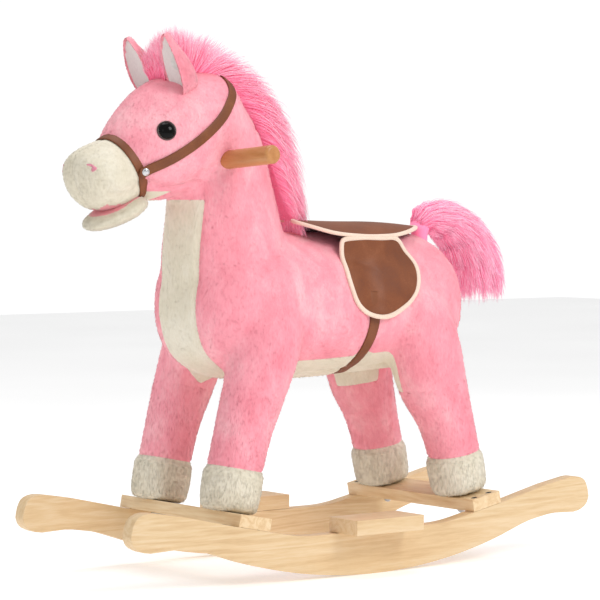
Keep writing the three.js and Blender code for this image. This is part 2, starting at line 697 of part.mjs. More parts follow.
// Ears: leaf-shaped pads that face forwards and outwards. The left one holds the sound button.
const skullGrown = skull(contactGap);
const earBall = new THREE.SphereGeometry(1, 14, 10);
earBall.rotateX(Math.PI / 2);
earBall.scale(earThickness / 2, earWidth / 2, earHeight / 2);
const buttonCase = crossRod(buttonCaseRadius, buttonCaseDepth, 0, 0, 0)
  .subtract(crossRod(buttonCapRadius + boreClearance, buttonCaseDepth, 0, 1.2, 0))
  .rotate([0, 0, -90]);
const buttonCap = crossRod(buttonCapRadius, buttonCapHeight, 0, 0, 0).rotate([0, 0, -90]);
for (const side of sides) {
  const frame = new THREE.Group();
  frame.position.set(earPlace.x, side.y * earPlace.y, earPlace.z);
  frame.rotation.set(-side.y * earSplay, earNod, side.y * earTurn, "ZYX");
  frame.updateMatrixWorld(true);
  horse.add(frame);
  const toWorld = frame.matrixWorld.elements;
  const toFrame = frame.matrixWorld.clone().invert().elements;
  let ear = solidOf(earBall).transform(toWorld).subtract(skullGrown).transform(toFrame);
  if (side.name === "left") {
    const pocket = buttonCaseRadius + stuffingClearance;
    const pocketDepth = buttonCaseDepth + buttonCapHeight + 1;
    ear = ear.subtract(crossRod(pocket, pocketDepth, 0, 0, 0).rotate([0, 0, -90]))
      .subtract(rod(3, 0, 0, -LARGE / 2, -buttonCaseRadius + 2, 8));
    add("sound_button_case", buttonCase, casePlastic(), frame).position.x = -1.2;
    add("sound_button_cap", buttonCap, casePlastic(), frame).position.x = buttonOut;
  }
  add(`${side.name}_ear`, ear, pinkPlush(), frame);
}

// Mane: a crest of long pile from between the ears down the back of the neck.
const maneOutline = [
  [226, 600], [236, 622], [216, 640], [204, 653], [192, 642], [160, 640], [120, 622], [86, 600],
  [62, 572], [42, 545], [32, 510], [26, 460], [20, 430], [36, 422], [80, 450], [110, 540], [160, 560],
];
const mane = slab(maneOutline, -maneWidth / 2, maneWidth / 2).subtract(bodyAndSkull(lapOuter + maneLift));
add("mane", mane, hairPlush());

// Tail: a bushy plume on a pin, so that it can wag.
const tailStations = [
  [-164, 416, 10, 14, 75],
  [-180, 424, 19, 26, 85],
  [-212, 422, 23, 34, 105],
  [-242, 402, 27, 40, 130],
  [-262, 370, 28, 40, 150],
  [-269, 340, 25, 34, 165],
  [-271, 318, 14, 20, 170],
];
const tail = stuffed(tailStations, 0, 10)
  .subtract(body(tailClearance))
  .subtract(rod(tailPinRadius + boreClearance, tailAxis, 0, -LARGE / 2, tailPinTop + 1));
add("tail", tail, hairPlush());

// Saddle: a seat over the back and a flap down each side, all of one leather thickness.
const saddleShell = shell(body, wrapClearance, wrapOuter);
const seatOutline = [
  [saddleFront, 22], [saddleFront - 36, saddleHalfWidth], [saddleRear + 76, saddleHalfWidth],
  [saddleRear + 40, saddleHalfWidth - 17], [saddleRear + 10, 22], [saddleRear, 0],
];
const seatShape = new THREE.Shape([
  ...seatOutline, ...seatOutline.slice(0, -1).reverse().map(([x, y]) => [x, -y]),
].map(([x, y]) => new THREE.Vector2(x, y)));
const seatPrism = solidOf(
  new THREE.ExtrudeGeometry(seatShape, { depth: LARGE, bevelEnabled: false }), at(0, 0, flapBottom),
);
const seat = saddleShell.intersect(seatPrism);
add("saddle_seat", seat, leather());

const flapMiddle = (flapFront + flapRear) / 2;
const flapHalf = (flapFront - flapRear) / 2;
const flapOutline = [
  [flapFront - 3, LARGE / 4], [flapFront, flapBottom + 40], [flapFront - 6, flapBottom + 18],
  [flapFront - 22, flapBottom + 5], [flapMiddle, flapBottom], [flapMiddle - 22, flapBottom + 4],
  [flapRear + 14, flapBottom + 18], [flapRear, flapBottom + 42], [flapRear + 3, flapBottom + 64],
  [flapRear + flapHalf * 0.45, LARGE / 4],
];
for (const side of sides) {
  const inner = side.y * (saddleHalfWidth + contactGap);
  const outer = side.y * LARGE / 8;
  const flap = saddleShell.intersect(slab(flapOutline, Math.min(inner, outer), Math.max(inner, outer)));
  add(`${side.name}_saddle_flap`, flap, leather());
}

// Girth: under the belly, from flap to flap.
const girth = saddleShell
  .intersect(box([girthWidth, LARGE, LARGE], [girthPlace, 0, flapBottom - 2 - LARGE / 2]));
add("girth_strap", girth, leather());

export default horse;
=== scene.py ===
# A plush rocking horse: a stuffed pink hide with cream hooves, muzzle and belly panel, hair in locks, a
# leather bridle and saddle, and a pine base on two rockers. Metres, with +X towards the head and +Y to
# the horse's left.
import json
import math

import bmesh
import bpy
import numpy as np
from mathutils import Matrix, Vector
from mathutils.bvhtree import BVHTree

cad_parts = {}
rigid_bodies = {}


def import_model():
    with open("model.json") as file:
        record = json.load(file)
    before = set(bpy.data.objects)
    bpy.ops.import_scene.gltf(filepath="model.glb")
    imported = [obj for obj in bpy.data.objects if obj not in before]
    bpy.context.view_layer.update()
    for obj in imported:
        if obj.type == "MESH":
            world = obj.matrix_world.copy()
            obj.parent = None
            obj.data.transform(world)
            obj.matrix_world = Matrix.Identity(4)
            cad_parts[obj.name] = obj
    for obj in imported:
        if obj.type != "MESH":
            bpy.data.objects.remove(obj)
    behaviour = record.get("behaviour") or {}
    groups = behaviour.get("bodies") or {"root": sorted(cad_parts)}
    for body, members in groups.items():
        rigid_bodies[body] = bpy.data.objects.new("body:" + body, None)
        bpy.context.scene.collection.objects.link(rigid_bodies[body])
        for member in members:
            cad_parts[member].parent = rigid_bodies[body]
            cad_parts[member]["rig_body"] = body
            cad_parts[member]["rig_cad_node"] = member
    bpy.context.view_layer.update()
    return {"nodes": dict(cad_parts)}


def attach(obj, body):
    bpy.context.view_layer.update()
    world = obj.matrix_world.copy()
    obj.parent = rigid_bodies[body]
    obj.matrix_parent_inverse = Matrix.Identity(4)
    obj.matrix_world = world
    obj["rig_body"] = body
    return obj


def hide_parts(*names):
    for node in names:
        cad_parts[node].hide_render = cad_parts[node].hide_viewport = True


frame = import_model()
MM = 0.001
SIDES = ("left", "right")
ENDS = ("front", "rear")
LENS = 157.18
SENSOR = 36
CAMERA_PLACE = (1.9610, 2.5581, 0.4529)
CAMERA_TARGET = (0.0116, -0.0088, 0.3235)


# Camera and lamps
def aim(thing, place, target):
    thing.location = place
    thing.rotation_euler = (Vector(target) - Vector(place)).to_track_quat("-Z", "Y").to_euler()


camera = bpy.data.objects.new("camera", bpy.data.cameras.new("camera"))
bpy.context.scene.collection.objects.link(camera)
camera.data.lens = LENS
camera.data.sensor_width = SENSOR
aim(camera, CAMERA_PLACE, CAMERA_TARGET)
bpy.context.scene.camera = camera
bpy.context.scene.view_settings.view_transform = "Standard"


def softbox(name, place, target, size, watts):
    lamp = bpy.data.lights.new(name, "AREA")
    lamp.shape = "DISK"
    lamp.size = size
    lamp.energy = watts
    box = bpy.data.objects.new(name, lamp)
    bpy.context.scene.collection.objects.link(box)
    aim(box, place, target)


def linear(tone, alpha=1.0):
    """A screen colour, such as 0xF6A8B8, as the shader's own numbers."""
    shares = [((tone >> shift) & 255) / 255 for shift in (16, 8, 0)]
    return tuple(s / 12.92 if s <= 0.04045 else ((s + 0.055) / 1.055) ** 2.4 for s in shares) + (alpha,)


# Finishes
class Shade:
    """A node's output that takes part in sums, so that a mask or a tone is written as maths."""

    def __init__(self, finish, socket):
        self.finish = finish
        self.socket = socket

    def maths(self, operation, first, second, **more):
        settings = {"operation": operation, **more}
        return self.finish.node("ShaderNodeMath", settings, {0: first, 1: second})

    def __add__(self, other):
        return self.maths("ADD", self, other)

    __radd__ = __add__

    def __sub__(self, other):
        return self.maths("SUBTRACT", self, other)

    def __rsub__(self, other):
        return self.maths("SUBTRACT", other, self)

    def __mul__(self, other):
        return self.maths("MULTIPLY", self, other)

    __rmul__ = __mul__

    def clamp(self):
        return self.maths("MULTIPLY", self, 1.0, use_clamp=True)


class Finish:
    """A material in the making: constants are set on the shader, and what varies is linked to it."""

    def __init__(self, name, constants):
        self.material = bpy.data.materials.new(name)
        self.material.use_nodes = True
        self.tree = self.material.node_tree
        self.surface = self.tree.nodes["Principled BSDF"]
        for socket, value in constants.items():
            self.surface.inputs[socket].default_value = value

    def node(self, kind, settings, sockets, output=0):
        node = self.tree.nodes.new(kind)
        for key, value in settings.items():
            if key == "stops":
                ramp = node.color_ramp
                while len(ramp.elements) < len(value):
                    ramp.elements.new(0.5)
                for element, (position, tone) in zip(ramp.elements, value):
                    element.position = position
                    element.color = linear(tone)
            else:
                setattr(node, key, value)
        for key, value in sockets.items():
            if isinstance(value, Shade):
                self.tree.links.new(value.socket, node.inputs[key])
            else:
                node.inputs[key].default_value = value
        return Shade(self, node.outputs[output])

    def place(self, stretch=(1, 1, 1), turn=(0, 0, 0)):
        where = self.node("ShaderNodeTexCoord", {}, {}, "Object")
        return self.node("ShaderNodeMapping", {}, {"Vector": where, "Scale": stretch, "Rotation": turn})

    def noise(self, scale, detail=2.0, stretch=(1, 1, 1), turn=(0, 0, 0), twist=0.0, rough=0.5):
        where = self.place(stretch, turn)
        return self.node("ShaderNodeTexNoise", {}, {
            "Vector": where, "Scale": scale, "Detail": detail, "Roughness": rough, "Distortion": twist,
        })

    def cells(self, scale):
        sockets = {"Vector": self.place(), "Scale": scale}
        return self.node("ShaderNodeTexVoronoi", {"feature": "SMOOTH_F1"}, sockets, "Distance")

    def attribute(self, name):
        return self.node("ShaderNodeAttribute", {"attribute_name": name}, {}, "Fac")

    def ramp(self, shade, stops):
        return self.node("ShaderNodeValToRGB", {"stops": stops}, {"Fac": shade})

    def link(self, shade, socket):
        self.tree.links.new(shade.socket, self.surface.inputs[socket])

    def bump(self, height, strength, distance):
        sockets = {"Height": height, "Strength": strength, "Distance": distance}
        self.link(self.node("ShaderNodeBump", {}, sockets), "Normal")


def plush(name, deep, middle, pale, patches=1.0):
    """Short pile that has been stroked both ways: paler and deeper patches, clumps and single fibres."""
    cloth = Finish(name, {
        "Roughness": 0.9, "Specular IOR Level": 0.15,
        "Sheen Weight": 0.35, "Sheen Roughness": 0.45, "Sheen Tint": linear(pale),
    })
    stroke = cloth.noise(10, 1.5, twist=0.8)
    clump = cloth.noise(46, 3, (1, 1, 0.55), twist=0.4)
    fibre = cloth.noise(620, 2, (1, 1, 0.3))
    tone = 0.5 + (stroke - 0.5) * (1.1 * patches) + (clump - 0.5) * (0.8 * patches) + (fibre - 0.5) * 0.4
    cloth.link(cloth.ramp(tone.clamp(), [(0.12, deep), (0.5, middle), (0.9, pale)]), "Base Color")
    cloth.link((0.84 + fibre * 0.14).clamp(), "Roughness")
    cloth.bump(clump * 0.5 + fibre * 0.4, 0.15, 0.001)
    return cloth.material


def hair(name, root, middle, tip):
    """Long fibre: strong at the root and paler towards the tip, each lock a little different."""
    fur = Finish(name, {
        "Roughness": 0.6, "Specular IOR Level": 0.35,
        "Sheen Weight": 0.3, "Sheen Roughness": 0.5, "Sheen Tint": linear(tip),
        # a painted glow: a faint emission stands in for light that passes through the fibres and fills the
        # shaded gaps between the locks
        "Emission Color": linear(root), "Emission Strength": 0.16,
    })
    along = fur.attribute("along")
    lock = fur.attribute("lock")
    streak = fur.noise(300, 2, (1, 1, 0.4))
    tone = along * 0.82 + (lock - 0.5) * 0.5 + (streak - 0.5) * 0.25
    fur.link(fur.ramp(tone.clamp(), [(0.05, root), (0.45, middle), (0.9, tip)]), "Base Color")
    fur.link(0.5 + streak * 0.25, "Roughness")
    return fur.material


def leather(name, deep, middle, worn):
    """Smooth brown leather cloth: a fine pebbled grain, a cloudy colour and a soft gloss."""
    hide = Finish(name, {"Specular IOR Level": 0.45, "Coat Roughness": 0.35})
    cloud = hide.noise(26, 3, twist=0.5)
    pebble = hide.cells(900)
    crease = hide.noise(150, 4, twist=1.0)
    tone = cloud * 0.7 + pebble * 0.25 + crease * 0.15
    hide.link(hide.ramp(tone.clamp(), [(0.25, deep), (0.55, middle), (0.85, worn)]), "Base Color")
    hide.link((0.42 + crease * 0.22 + pebble * 0.1).clamp(), "Roughness")
    hide.link((0.03 + cloud * 0.08).clamp(), "Coat Weight")
    hide.bump(pebble * 0.7 + crease * 0.4, 0.25, 0.0004)
    return hide.material


def woven(name, deep, pale, threads=1400):
    """A fine plain weave, for the binding, the mouth lining, the thread and the undersides."""
    cloth = Finish(name, {"Roughness": 0.8, "Sheen Weight": 0.3, "Sheen Roughness": 0.5})
    warp = cloth.noise(threads, 1, (1, 0.25, 0.25))
    weft = cloth.noise(threads, 1, (0.25, 1, 1))
    stain = cloth.noise(35, 3)
    tone = warp * 0.35 + weft * 0.35 + stain * 0.3
    cloth.link(cloth.ramp(tone.clamp(), [(0.3, deep), (0.7, pale)]), "Base Color")
    cloth.link((0.7 + stain * 0.2).clamp(), "Roughness")
    cloth.bump(warp + weft, 0.3, 0.0004)
    return cloth.material


def timber(name, stretch, turn, deep, middle, pale, coat=0.15, figure=1.0):
    """Planed wood: long wavy rings, fine streaks and pores, under a thin lacquer."""
    wood = Finish(name, {"Specular IOR Level": 0.4, "Coat Roughness": 0.25, "Coat Weight": coat})
    rings = wood.noise(26, 2, stretch, turn, twist=1.2)
    band = wood.node("ShaderNodeMath", {"operation": "SINE"}, {0: rings * 46.0}) * 0.5 + 0.5
    streak = wood.noise(160, 4, stretch, turn, twist=0.3, rough=0.65)
    pore = wood.noise(900, 2, stretch, turn)
    cloud = wood.noise(7, 2)
    grain = (band - 0.5) * 0.34 + (streak - 0.5) * 1.1 + (cloud - 0.5) * 0.5
    tone = 0.5 + grain * figure + (pore - 0.5) * 0.35
    wood.link(wood.ramp(tone.clamp(), [(0.1, deep), (0.5, middle), (0.9, pale)]), "Base Color")
    wood.link((0.42 + streak * 0.2 + (pore - 0.5) * 0.12).clamp(), "Roughness")
    wood.bump(streak * 0.5 + pore * 0.5, 0.12, 0.0005)
    return wood.material


def metal(name, dull, bright, roughness):
    steel = Finish(name, {"Metallic": 1.0})
    brush = steel.noise(700, 3, (1, 1, 0.2))
    spot = steel.noise(90, 3)
    steel.link(steel.ramp(brush * 0.5 + spot * 0.5, [(0.3, dull), (0.7, bright)]), "Base Color")
    steel.link((roughness + (spot - 0.5) * 0.25).clamp(), "Roughness")
    steel.bump(brush, 0.08, 0.0002)
    return steel.material


def moulded(name, tone, paler, roughness, coat=0.0):
    plastic = Finish(name, {"Coat Weight": coat, "Coat Roughness": 0.04})
    spot = plastic.noise(160, 3)
    fine = plastic.noise(1800, 2)
    plastic.link(plastic.ramp(spot, [(0.35, tone), (0.7, paler)]), "Base Color")
    plastic.link((roughness + (fine - 0.5) * 0.08).clamp(), "Roughness")
    plastic.bump(fine, 0.04, 0.0002)
    return plastic.material


ALONG_X = (0.07, 1, 1)
ALONG_Y = (1, 0.07, 1)
ALONG_Z = (1, 1, 0.07)
pink_pile = plush("pink pile", 0xEE8796, 0xF8A2AF, 0xFFC8CD, 0.75)
cream_pile = plush("cream pile", 0xCFC6AD, 0xE2DAC6, 0xF2EEE2, 0.5)
mane_hair = hair("mane hair", 0xFF86AC, 0xFFB0C8, 0xFFDCE6)
tail_hair = hair("tail hair", 0xFF92BA, 0xFFB6D1, 0xFFD8E7)
brown_leather = leather("brown leather", 0x68341A, 0x7C401A, 0x925632)
strap_leather = leather("strap leather", 0x5C2B12, 0x78401C, 0x8C522C)
# near-black cloth on the undersides of the seat and the flaps
underside_cloth = woven("near-black underside cloth", 0x120E0E, 0x2A2322)
cream_binding = woven("cream binding", 0xE3C6B2, 0xF3E0CD)
mouth_lining = woven("pink mouth lining", 0xD97F86, 0xEDA6AA)
ear_lining = plush("ear lining", 0xCFC4C2, 0xE2DAD7, 0xF1ECE8, 0.6)
pink_thread = woven("pink thread", 0xDD7F97, 0xEFA0B2, 2400)
pine = timber("lacquered pine", ALONG_X, (0, 0, 0), 0xC6A072, 0xDDBF93, 0xEBD5B3, 0.15, 0.5)
crossbar_pine = timber("crossbar pine", ALONG_Y, (0, 0, 0), 0xCCA474, 0xE4C69A, 0xF2DDBA, 0.15, 0.6)
hidden_wood = timber("hidden softwood", ALONG_Z, (0, 0, 0), 0xB08755, 0xC79E69, 0xD8B683, 0.0)
dowel_wood = timber("varnished dowel", ALONG_Y, (0, 0, 0), 0xA5622C, 0xBE8046, 0xD29C62, 0.5, 0.35)
silver = metal("nickel", 0xB9BABD, 0xE6E6E8, 0.25)
dark_steel = metal("blackened steel", 0x38383A, 0x5C5C60, 0.42)
steel = metal("zinc steel", 0x9FA3A8, 0xC9CCD0, 0.35)
eye_black = moulded("eye black", 0x020101, 0x050303, 0.07)
eye_black.node_tree.nodes["Principled BSDF"].inputs["Specular IOR Level"].default_value = 0.16
eye_brown = moulded("eye rim brown", 0x2A1710, 0x40251A, 0.2, 0.6)
case_plastic = moulded("case plastic", 0xC9C9C4, 0xDCDCD8, 0.5)


# Modelling
def deselect():
    if bpy.context.object and bpy.context.object.mode != "OBJECT":
        bpy.ops.object.mode_set(mode="OBJECT")
    bpy.ops.object.select_all(action="DESELECT")


def take(*pieces):
    """Selects these pieces alone, with the first active."""
    deselect()
    for piece in pieces:
        piece.select_set(True)
    bpy.context.view_layer.objects.active = pieces[0]
    return pieces[0]


def edit(piece, mode="VERT"):
    take(piece)
    bpy.ops.object.mode_set(mode="EDIT")
    bpy.ops.mesh.select_mode(type=mode)


def done(piece, name=None, finish=None, smooth=True):
    if bpy.context.object and bpy.context.object.mode != "OBJECT":
        bpy.ops.object.mode_set(mode="OBJECT")
    if name:
        piece.name = name
        piece.data.name = name
    if finish:
        piece.data.materials.clear()
        piece.data.materials.append(finish)
    take(piece)
    if smooth:
        bpy.ops.object.shade_smooth()
    return piece


def modify(piece, kind, **settings):
    take(piece)
    modifier = piece.modifiers.new(kind.lower(), kind)
    for key, value in settings.items():
        setattr(modifier, key, value)
    bpy.ops.object.modifier_apply(modifier=modifier.name)
    return piece


def places(piece):
    co = np.empty(len(piece.data.vertices) * 3, np.float32)
    piece.data.vertices.foreach_get("co", co)
    return co.reshape(-1, 3).astype(float)


def put(piece, co):
    piece.data.vertices.foreach_set("co", co.astype(np.float32).ravel())
    piece.data.update()


def outward(piece):
    normals = np.empty(len(piece.data.vertices) * 3, np.float32)
    piece.data.vertices.foreach_get("normal", normals)
    return normals.reshape(-1, 3).astype(float)


def tree_of(piece):
    """The piece's surface, for finding places on it."""
    faces = [tuple(f.vertices) for f in piece.data.polygons]
    return BVHTree.FromPolygons([Vector(p) for p in places(piece)], faces)


def from_points(name, points, polygons):
    mesh = bpy.data.meshes.new(name)
    mesh.from_pydata(points, [], polygons)
    piece = bpy.data.objects.new(name, mesh)
    bpy.context.scene.collection.objects.link(piece)
    return piece


def flatten(piece, share):
    edit(piece)
    bpy.ops.mesh.select_all(action="SELECT")
    bpy.ops.transform.resize(value=(1, 1, share))
    bpy.ops.object.mode_set(mode="OBJECT")


def recalculate(piece):
    edit(piece)
    bpy.ops.mesh.select_all(action="SELECT")
    bpy.ops.mesh.remove_doubles(threshold=1e-6)
    bpy.ops.mesh.normals_make_consistent(inside=False)
    bpy.ops.object.mode_set(mode="OBJECT")
    return piece


def finish_piece(piece, body, *nodes, slot=None, fill=None):
    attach(piece, body)
    if nodes:
        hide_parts(*nodes)
    return piece


def swept(name, rings, ends="closed"):
    """A ring extruded from each list of points to the next. The ends are closed, or joined to each
    other, and a sheet has only its last ring filled."""
    deselect()
    fill = "NGON" if ends == "closed" else "NOTHING"
    bpy.ops.mesh.primitive_circle_add(vertices=len(rings[0]), radius=0.01, fill_type=fill)
    piece = bpy.context.object
    edit(piece)
    bpy.ops.mesh.select_all(action="SELECT")
    shape = bmesh.from_edit_mesh(piece.data)
    spoke = shape.verts.layers.int.new("spoke")
    for i, vert in enumerate(shape.verts):
        vert[spoke] = i
    for k, ring in enumerate(rings):
        if k:
            bpy.ops.mesh.extrude_region_move()
        shape = bmesh.from_edit_mesh(piece.data)
        spoke = shape.verts.layers.int["spoke"]
        for vert in shape.verts:
            if vert.select:
                vert.co = ring[vert[spoke]]
        bmesh.update_edit_mesh(piece.data)
    if ends == "sheet":
        bpy.ops.mesh.edge_face_add()
    if ends == "joined":
        bpy.ops.mesh.select_all(action="DESELECT")
        bpy.ops.mesh.select_non_manifold()
        bpy.ops.mesh.bridge_edge_loops()
    bpy.ops.mesh.select_all(action="SELECT")
    bpy.ops.mesh.normals_make_consistent(inside=False)
    bpy.ops.object.mode_set(mode="OBJECT")
    piece.name = name
    piece.data.name = name
    return piece


def curve_through(points, count):
    """Points spread evenly by number on a smooth curve through the given ones."""
    points = np.array(points, float)
    ends = np.vstack([points[:1], points, points[-1:]])
    out = []
    for along in np.linspace(0, len(points) - 1, count):
        i = min(int(along), len(points) - 2)
        t = along - i
        a, b, c, d = ends[i:i + 4]
        squared, cubed = 2 * a - 5 * b + 4 * c - d, 3 * b - a - 3 * c + d
        out.append(0.5 * (2 * b + (c - a) * t + squared * t**2 + cubed * t**3))
    return np.array(out)


def even(points, count, closed=False):
    """Points spread evenly by length on the given line."""
    points = np.array(points, float)
    if closed:
        points = np.vstack([points, points[:1]])
    steps = np.linalg.norm(np.diff(points, axis=0), axis=1)
    length = np.concatenate([[0], np.cumsum(steps)])
    wanted = np.linspace(0, length[-1], count + closed)[:count]
    return np.array([[np.interp(w, length, column) for column in points.T] for w in wanted])


def stuffed(name, stations, rings=24, fullness=2.0, sides=28, place=Matrix(), shrink=0.0):
    """A stuffed tube. A station is x, z, half depth, half width, lean and y, in millimetres and degrees."""
    turns = np.linspace(0, 2 * math.pi, sides, endpoint=False)
    across = np.sign(np.sin(turns)) * np.abs(np.sin(turns)) ** (2 / fullness)
    down = np.sign(np.cos(turns)) * np.abs(np.cos(turns)) ** (2 / fullness)
    full = [tuple(station) + (0,) * (6 - len(station)) for station in stations]
    loops = []
    for x, z, depth, width, lean, y in curve_through(full, rings):
        lean = math.radians(lean)
        loops.append([place @ Vector((
            (x + d * (depth - shrink) * math.cos(lean)) * MM,
            (y + a * (width - shrink)) * MM,
            (z + d * (depth - shrink) * math.sin(lean)) * MM,
        )) for a, d in zip(across, down)])
    return swept(name, loops)


# The hide: body, neck, head and legs are stuffed together, and parted at their seams afterwards
TORSO = [
    (208, 322, 26, 32, 90), (193, 321, 62, 64, 90), (172, 320, 79, 82, 90), (150, 320, 88, 91, 90),
    (90, 320, 92, 95, 90), (0, 321, 89, 98, 90), (-80, 324, 87, 98, 90), (-145, 324, 84, 92, 90),
    (-185, 316, 68, 72, 90), (-209, 306, 32, 38, 90),
]
NECK = [
    (112, 300, 98, 84, 0), (124, 362, 90, 80, 6), (131, 425, 80, 67, 10), (137, 480, 70, 57, 10),
    (142, 530, 58, 52, 12), (150, 566, 40, 42, 14),
]
HEAD = [
    (124, 566, 22, 20, -118), (136, 559, 48, 44, -118), (174, 540, 67, 60, -118), (218, 519, 71, 65, -118),
    (258, 496, 58, 58, -119), (284, 483, 43, 46, -119), (310, 474, 43, 49, -119), (334, 466, 36, 42, -116),
    (343, 461, 16, 20, -114),
]
FRONT_LEG = [
    (6, 16, 30, 30, 0, 73), (6, 19, 35.5, 35.5, 0, 73), (6, 40, 37.5, 37.5, 0, 73), (6, 64, 37, 37, 0, 73),
    (5, 72, 34.5, 34.5, 0, 73), (2, 110, 35.5, 35, 0, 73), (-4, 150, 39, 38, 0, 73),
    (-12, 200, 43, 42, 0, 72), (-17, 240, 46, 42, 0, 66), (-20, 280, 47, 40, 0, 57),
    (-24, 325, 38, 32, 0, 46),
]
REAR_LEG = [
    (0, 16, 30, 30, 0, 73), (0, 19, 35.5, 35.5, 0, 73), (0, 40, 37.5, 37.5, 0, 73), (0, 64, 37, 37, 0, 73),
    (0, 72, 34.5, 34.5, 0, 73), (-4, 110, 38, 36, 0, 73), (-12, 150, 46, 40, 0, 72),
    (-15, 200, 49, 46, 0, 70), (-16, 250, 50, 44, 0, 62), (-14, 300, 42, 36, 0, 50),
]
RAMP = math.radians(11.5)
STANCE = 0.179
RAMP_HEIGHT = 0.066
HOOF_TOP = 67
LEG_TOP = 158
NOSE = Vector((math.cos(math.radians(28)), 0, -math.sin(math.radians(28))))
NOSEBAND = Vector((0.283, 0, 0.484))
NECK_SEAM = (Vector((0.160, 0, 0.500)), Vector((0.52, 0, 0.854)).normalized())
PANEL = 0.038  # half the width of the cream panel on the chest
BELLY = 0.066  # and under the belly
BIB_TOP = 0.447
CHIN = 0.457
BELLY_FRONT = 0.100
BELLY_BACK = -0.130
BELLY_TOP = 0.262
THROAT = 0.152
PANEL_SINK = 0.0034
PANEL_THICKNESS = 0.0024
VOXEL = 0.005


def end_frame(end):
    way = 1 if end == "front" else -1
    return Matrix.Translation((way * STANCE, 0, RAMP_HEIGHT)) @ Matrix.Rotation(-way * RAMP, 4, "Y")


def leg(end, side):
    way = 1 if end == "front" else -1
    hand = 1 if side == "left" else -1
    stations = FRONT_LEG if end == "front" else REAR_LEG
    local = [(x * way, z, depth, width, lean, y * hand) for x, z, depth, width, lean, y in stations]
    return stuffed(f"{end}_{side}", local, 34, 2.0, 28, end_frame(end), 2)


def puff(piece, cap, pressure=4.0, stiffness=15.0):
    """The stuffing pushes the skin out until the cloth holds it, and no point moves further than cap."""
    before = places(piece)
    take(piece)
    cloth = piece.modifiers.new("cloth", "CLOTH")
    settings = cloth.settings
    settings.quality = 4
    settings.mass = 0.3
    settings.tension_stiffness = stiffness
    settings.compression_stiffness = stiffness
    settings.shear_stiffness = 5
    settings.bending_stiffness = 0.5
    settings.use_pressure = True
    settings.uniform_pressure_force = pressure
    settings.effector_weights.gravity = 0
    cloth.point_cache.frame_start = 1
    cloth.point_cache.frame_end = 20
    for moment in range(1, 21):
        bpy.context.scene.frame_set(moment)
    bpy.ops.object.modifier_apply(modifier=cloth.name)
    bpy.context.scene.frame_set(1)
    moved = places(piece) - before
    far = np.linalg.norm(moved, axis=1, keepdims=True)
    put(piece, before + moved * np.minimum(1, cap / np.maximum(far, 1e-9)))
    return piece


def soft_step(low, high, value):
    t = np.clip((value - low) / (high - low), 0, 1)
    return t * t * (3 - 2 * t)


def hide_whole():
    parts = [
        stuffed("torso", TORSO, 30, 2.3, 40, shrink=3),
        stuffed("neck", NECK, 22, 2.1, 36, shrink=3),
        stuffed("skull", HEAD, 30, 2.0, 36, shrink=2),
    ]
    parts += [leg(end, side) for end in ENDS for side in SIDES]
    hide = take(*parts)
    bpy.ops.object.join()
    modify(hide, "REMESH", mode="VOXEL", voxel_size=VOXEL)
    modify(hide, "SMOOTH", factor=0.5, iterations=7)
    co = places(hide)
    # the back is narrower than the belly where the saddle sits
    x, y, z = co.T
    saddle_zone = soft_step(-0.20, -0.12, x) * (1 - soft_step(0.05, 0.13, x))
    above = soft_step(0.285, 0.365, z)
    co[:, 1] = y * (1 - 0.24 * saddle_zone * above)
    put(hide, co)
    puff(hide, 0.0055)
    return modify(hide, "SUBSURF", levels=1, render_levels=1)


hide = hide_whole()


def crease(piece, distance, depth, width):
    """Pulls the skin in along a seam, where distance is how far each point is from it."""
    pull = depth * np.exp(-((distance / width) ** 2))
    put(piece, places(piece) - outward(piece) * pull[:, None])


def in_frame(end, co):
    inverse = np.array(end_frame(end).inverted())
    return co @ inverse[:3, :3].T + inverse[:3, 3]


def leg_zone(end, co):
    way = 1 if end == "front" else -1
    return (co[:, 0] * way > 0.06) & (co[:, 2] < 0.31)


def beyond(co, point, normal):
    return (co - np.array(point)) @ np.array(normal)


co = places(hide)
for end in ENDS:
    local = in_frame(end, co)
    far = np.where(leg_zone(end, co), 0, 1)
    crease(hide, np.abs(local[:, 2] - HOOF_TOP * MM) + far, 0.0022, 0.004)
    crease(hide, np.abs(local[:, 2] - LEG_TOP * MM) + far, 0.0003, 0.003)
head_zone = co[:, 0] > 0.20
crease(hide, np.abs(beyond(co, NOSEBAND, NOSE)) + np.where(head_zone & (co[:, 2] > 0.4), 0, 1), 0.003, 0.006)
neck_zone = np.where((co[:, 2] > 0.40) & (co[:, 0] < 0.30), 0, 1)
crease(hide, np.abs(beyond(co, *NECK_SEAM)) + neck_zone, 0.0012, 0.005)
front_or_belly = ((co[:, 0] > 0.15) & (co[:, 2] < 0.47)) | ((co[:, 2] < 0.27) & (np.abs(co[:, 0]) < 0.16))
crease(hide, np.abs(np.abs(co[:, 1]) - PANEL) + np.where(front_or_belly, 0, 1), 0.0022, 0.0035)
crease(hide, np.abs(co[:, 1]) + np.where((co[:, 0] > 0.29) & (co[:, 2] > 0.40), 0, 1), 0.0016, 0.003)
girth_zone = np.where((co[:, 2] < 0.40), 0, 1)
crease(hide, np.maximum(np.abs(co[:, 0] + 0.0285) - 0.006, 0) + girth_zone, 0.003, 0.006)

skin = tree_of(hide)


def choose(piece, wanted):
    """Selects the faces that wanted picks by their middles."""
    edit(piece, "FACE")
    bpy.ops.mesh.select_all(action="DESELECT")
    shape = bmesh.from_edit_mesh(piece.data)
    picks = wanted(np.array([f.calc_center_median() for f in shape.faces]))
    for face, pick in zip(shape.faces, picks):
        face.select_set(bool(pick))
    bmesh.update_edit_mesh(piece.data)
    return picks


def cut(piece, point, normal, near):
    """Adds a clean edge along a plane, where near says which faces it crosses."""
    choose(piece, near)
    bpy.ops.mesh.bisect(plane_co=point, plane_no=normal)
    bpy.ops.object.mode_set(mode="OBJECT")


def separate(piece, name):
    bpy.ops.mesh.separate(type="SELECTED")
    bpy.ops.object.mode_set(mode="OBJECT")
    new = [o for o in bpy.context.selected_objects if o != piece][0]
    new.name = name
    new.data.name = name
    return new


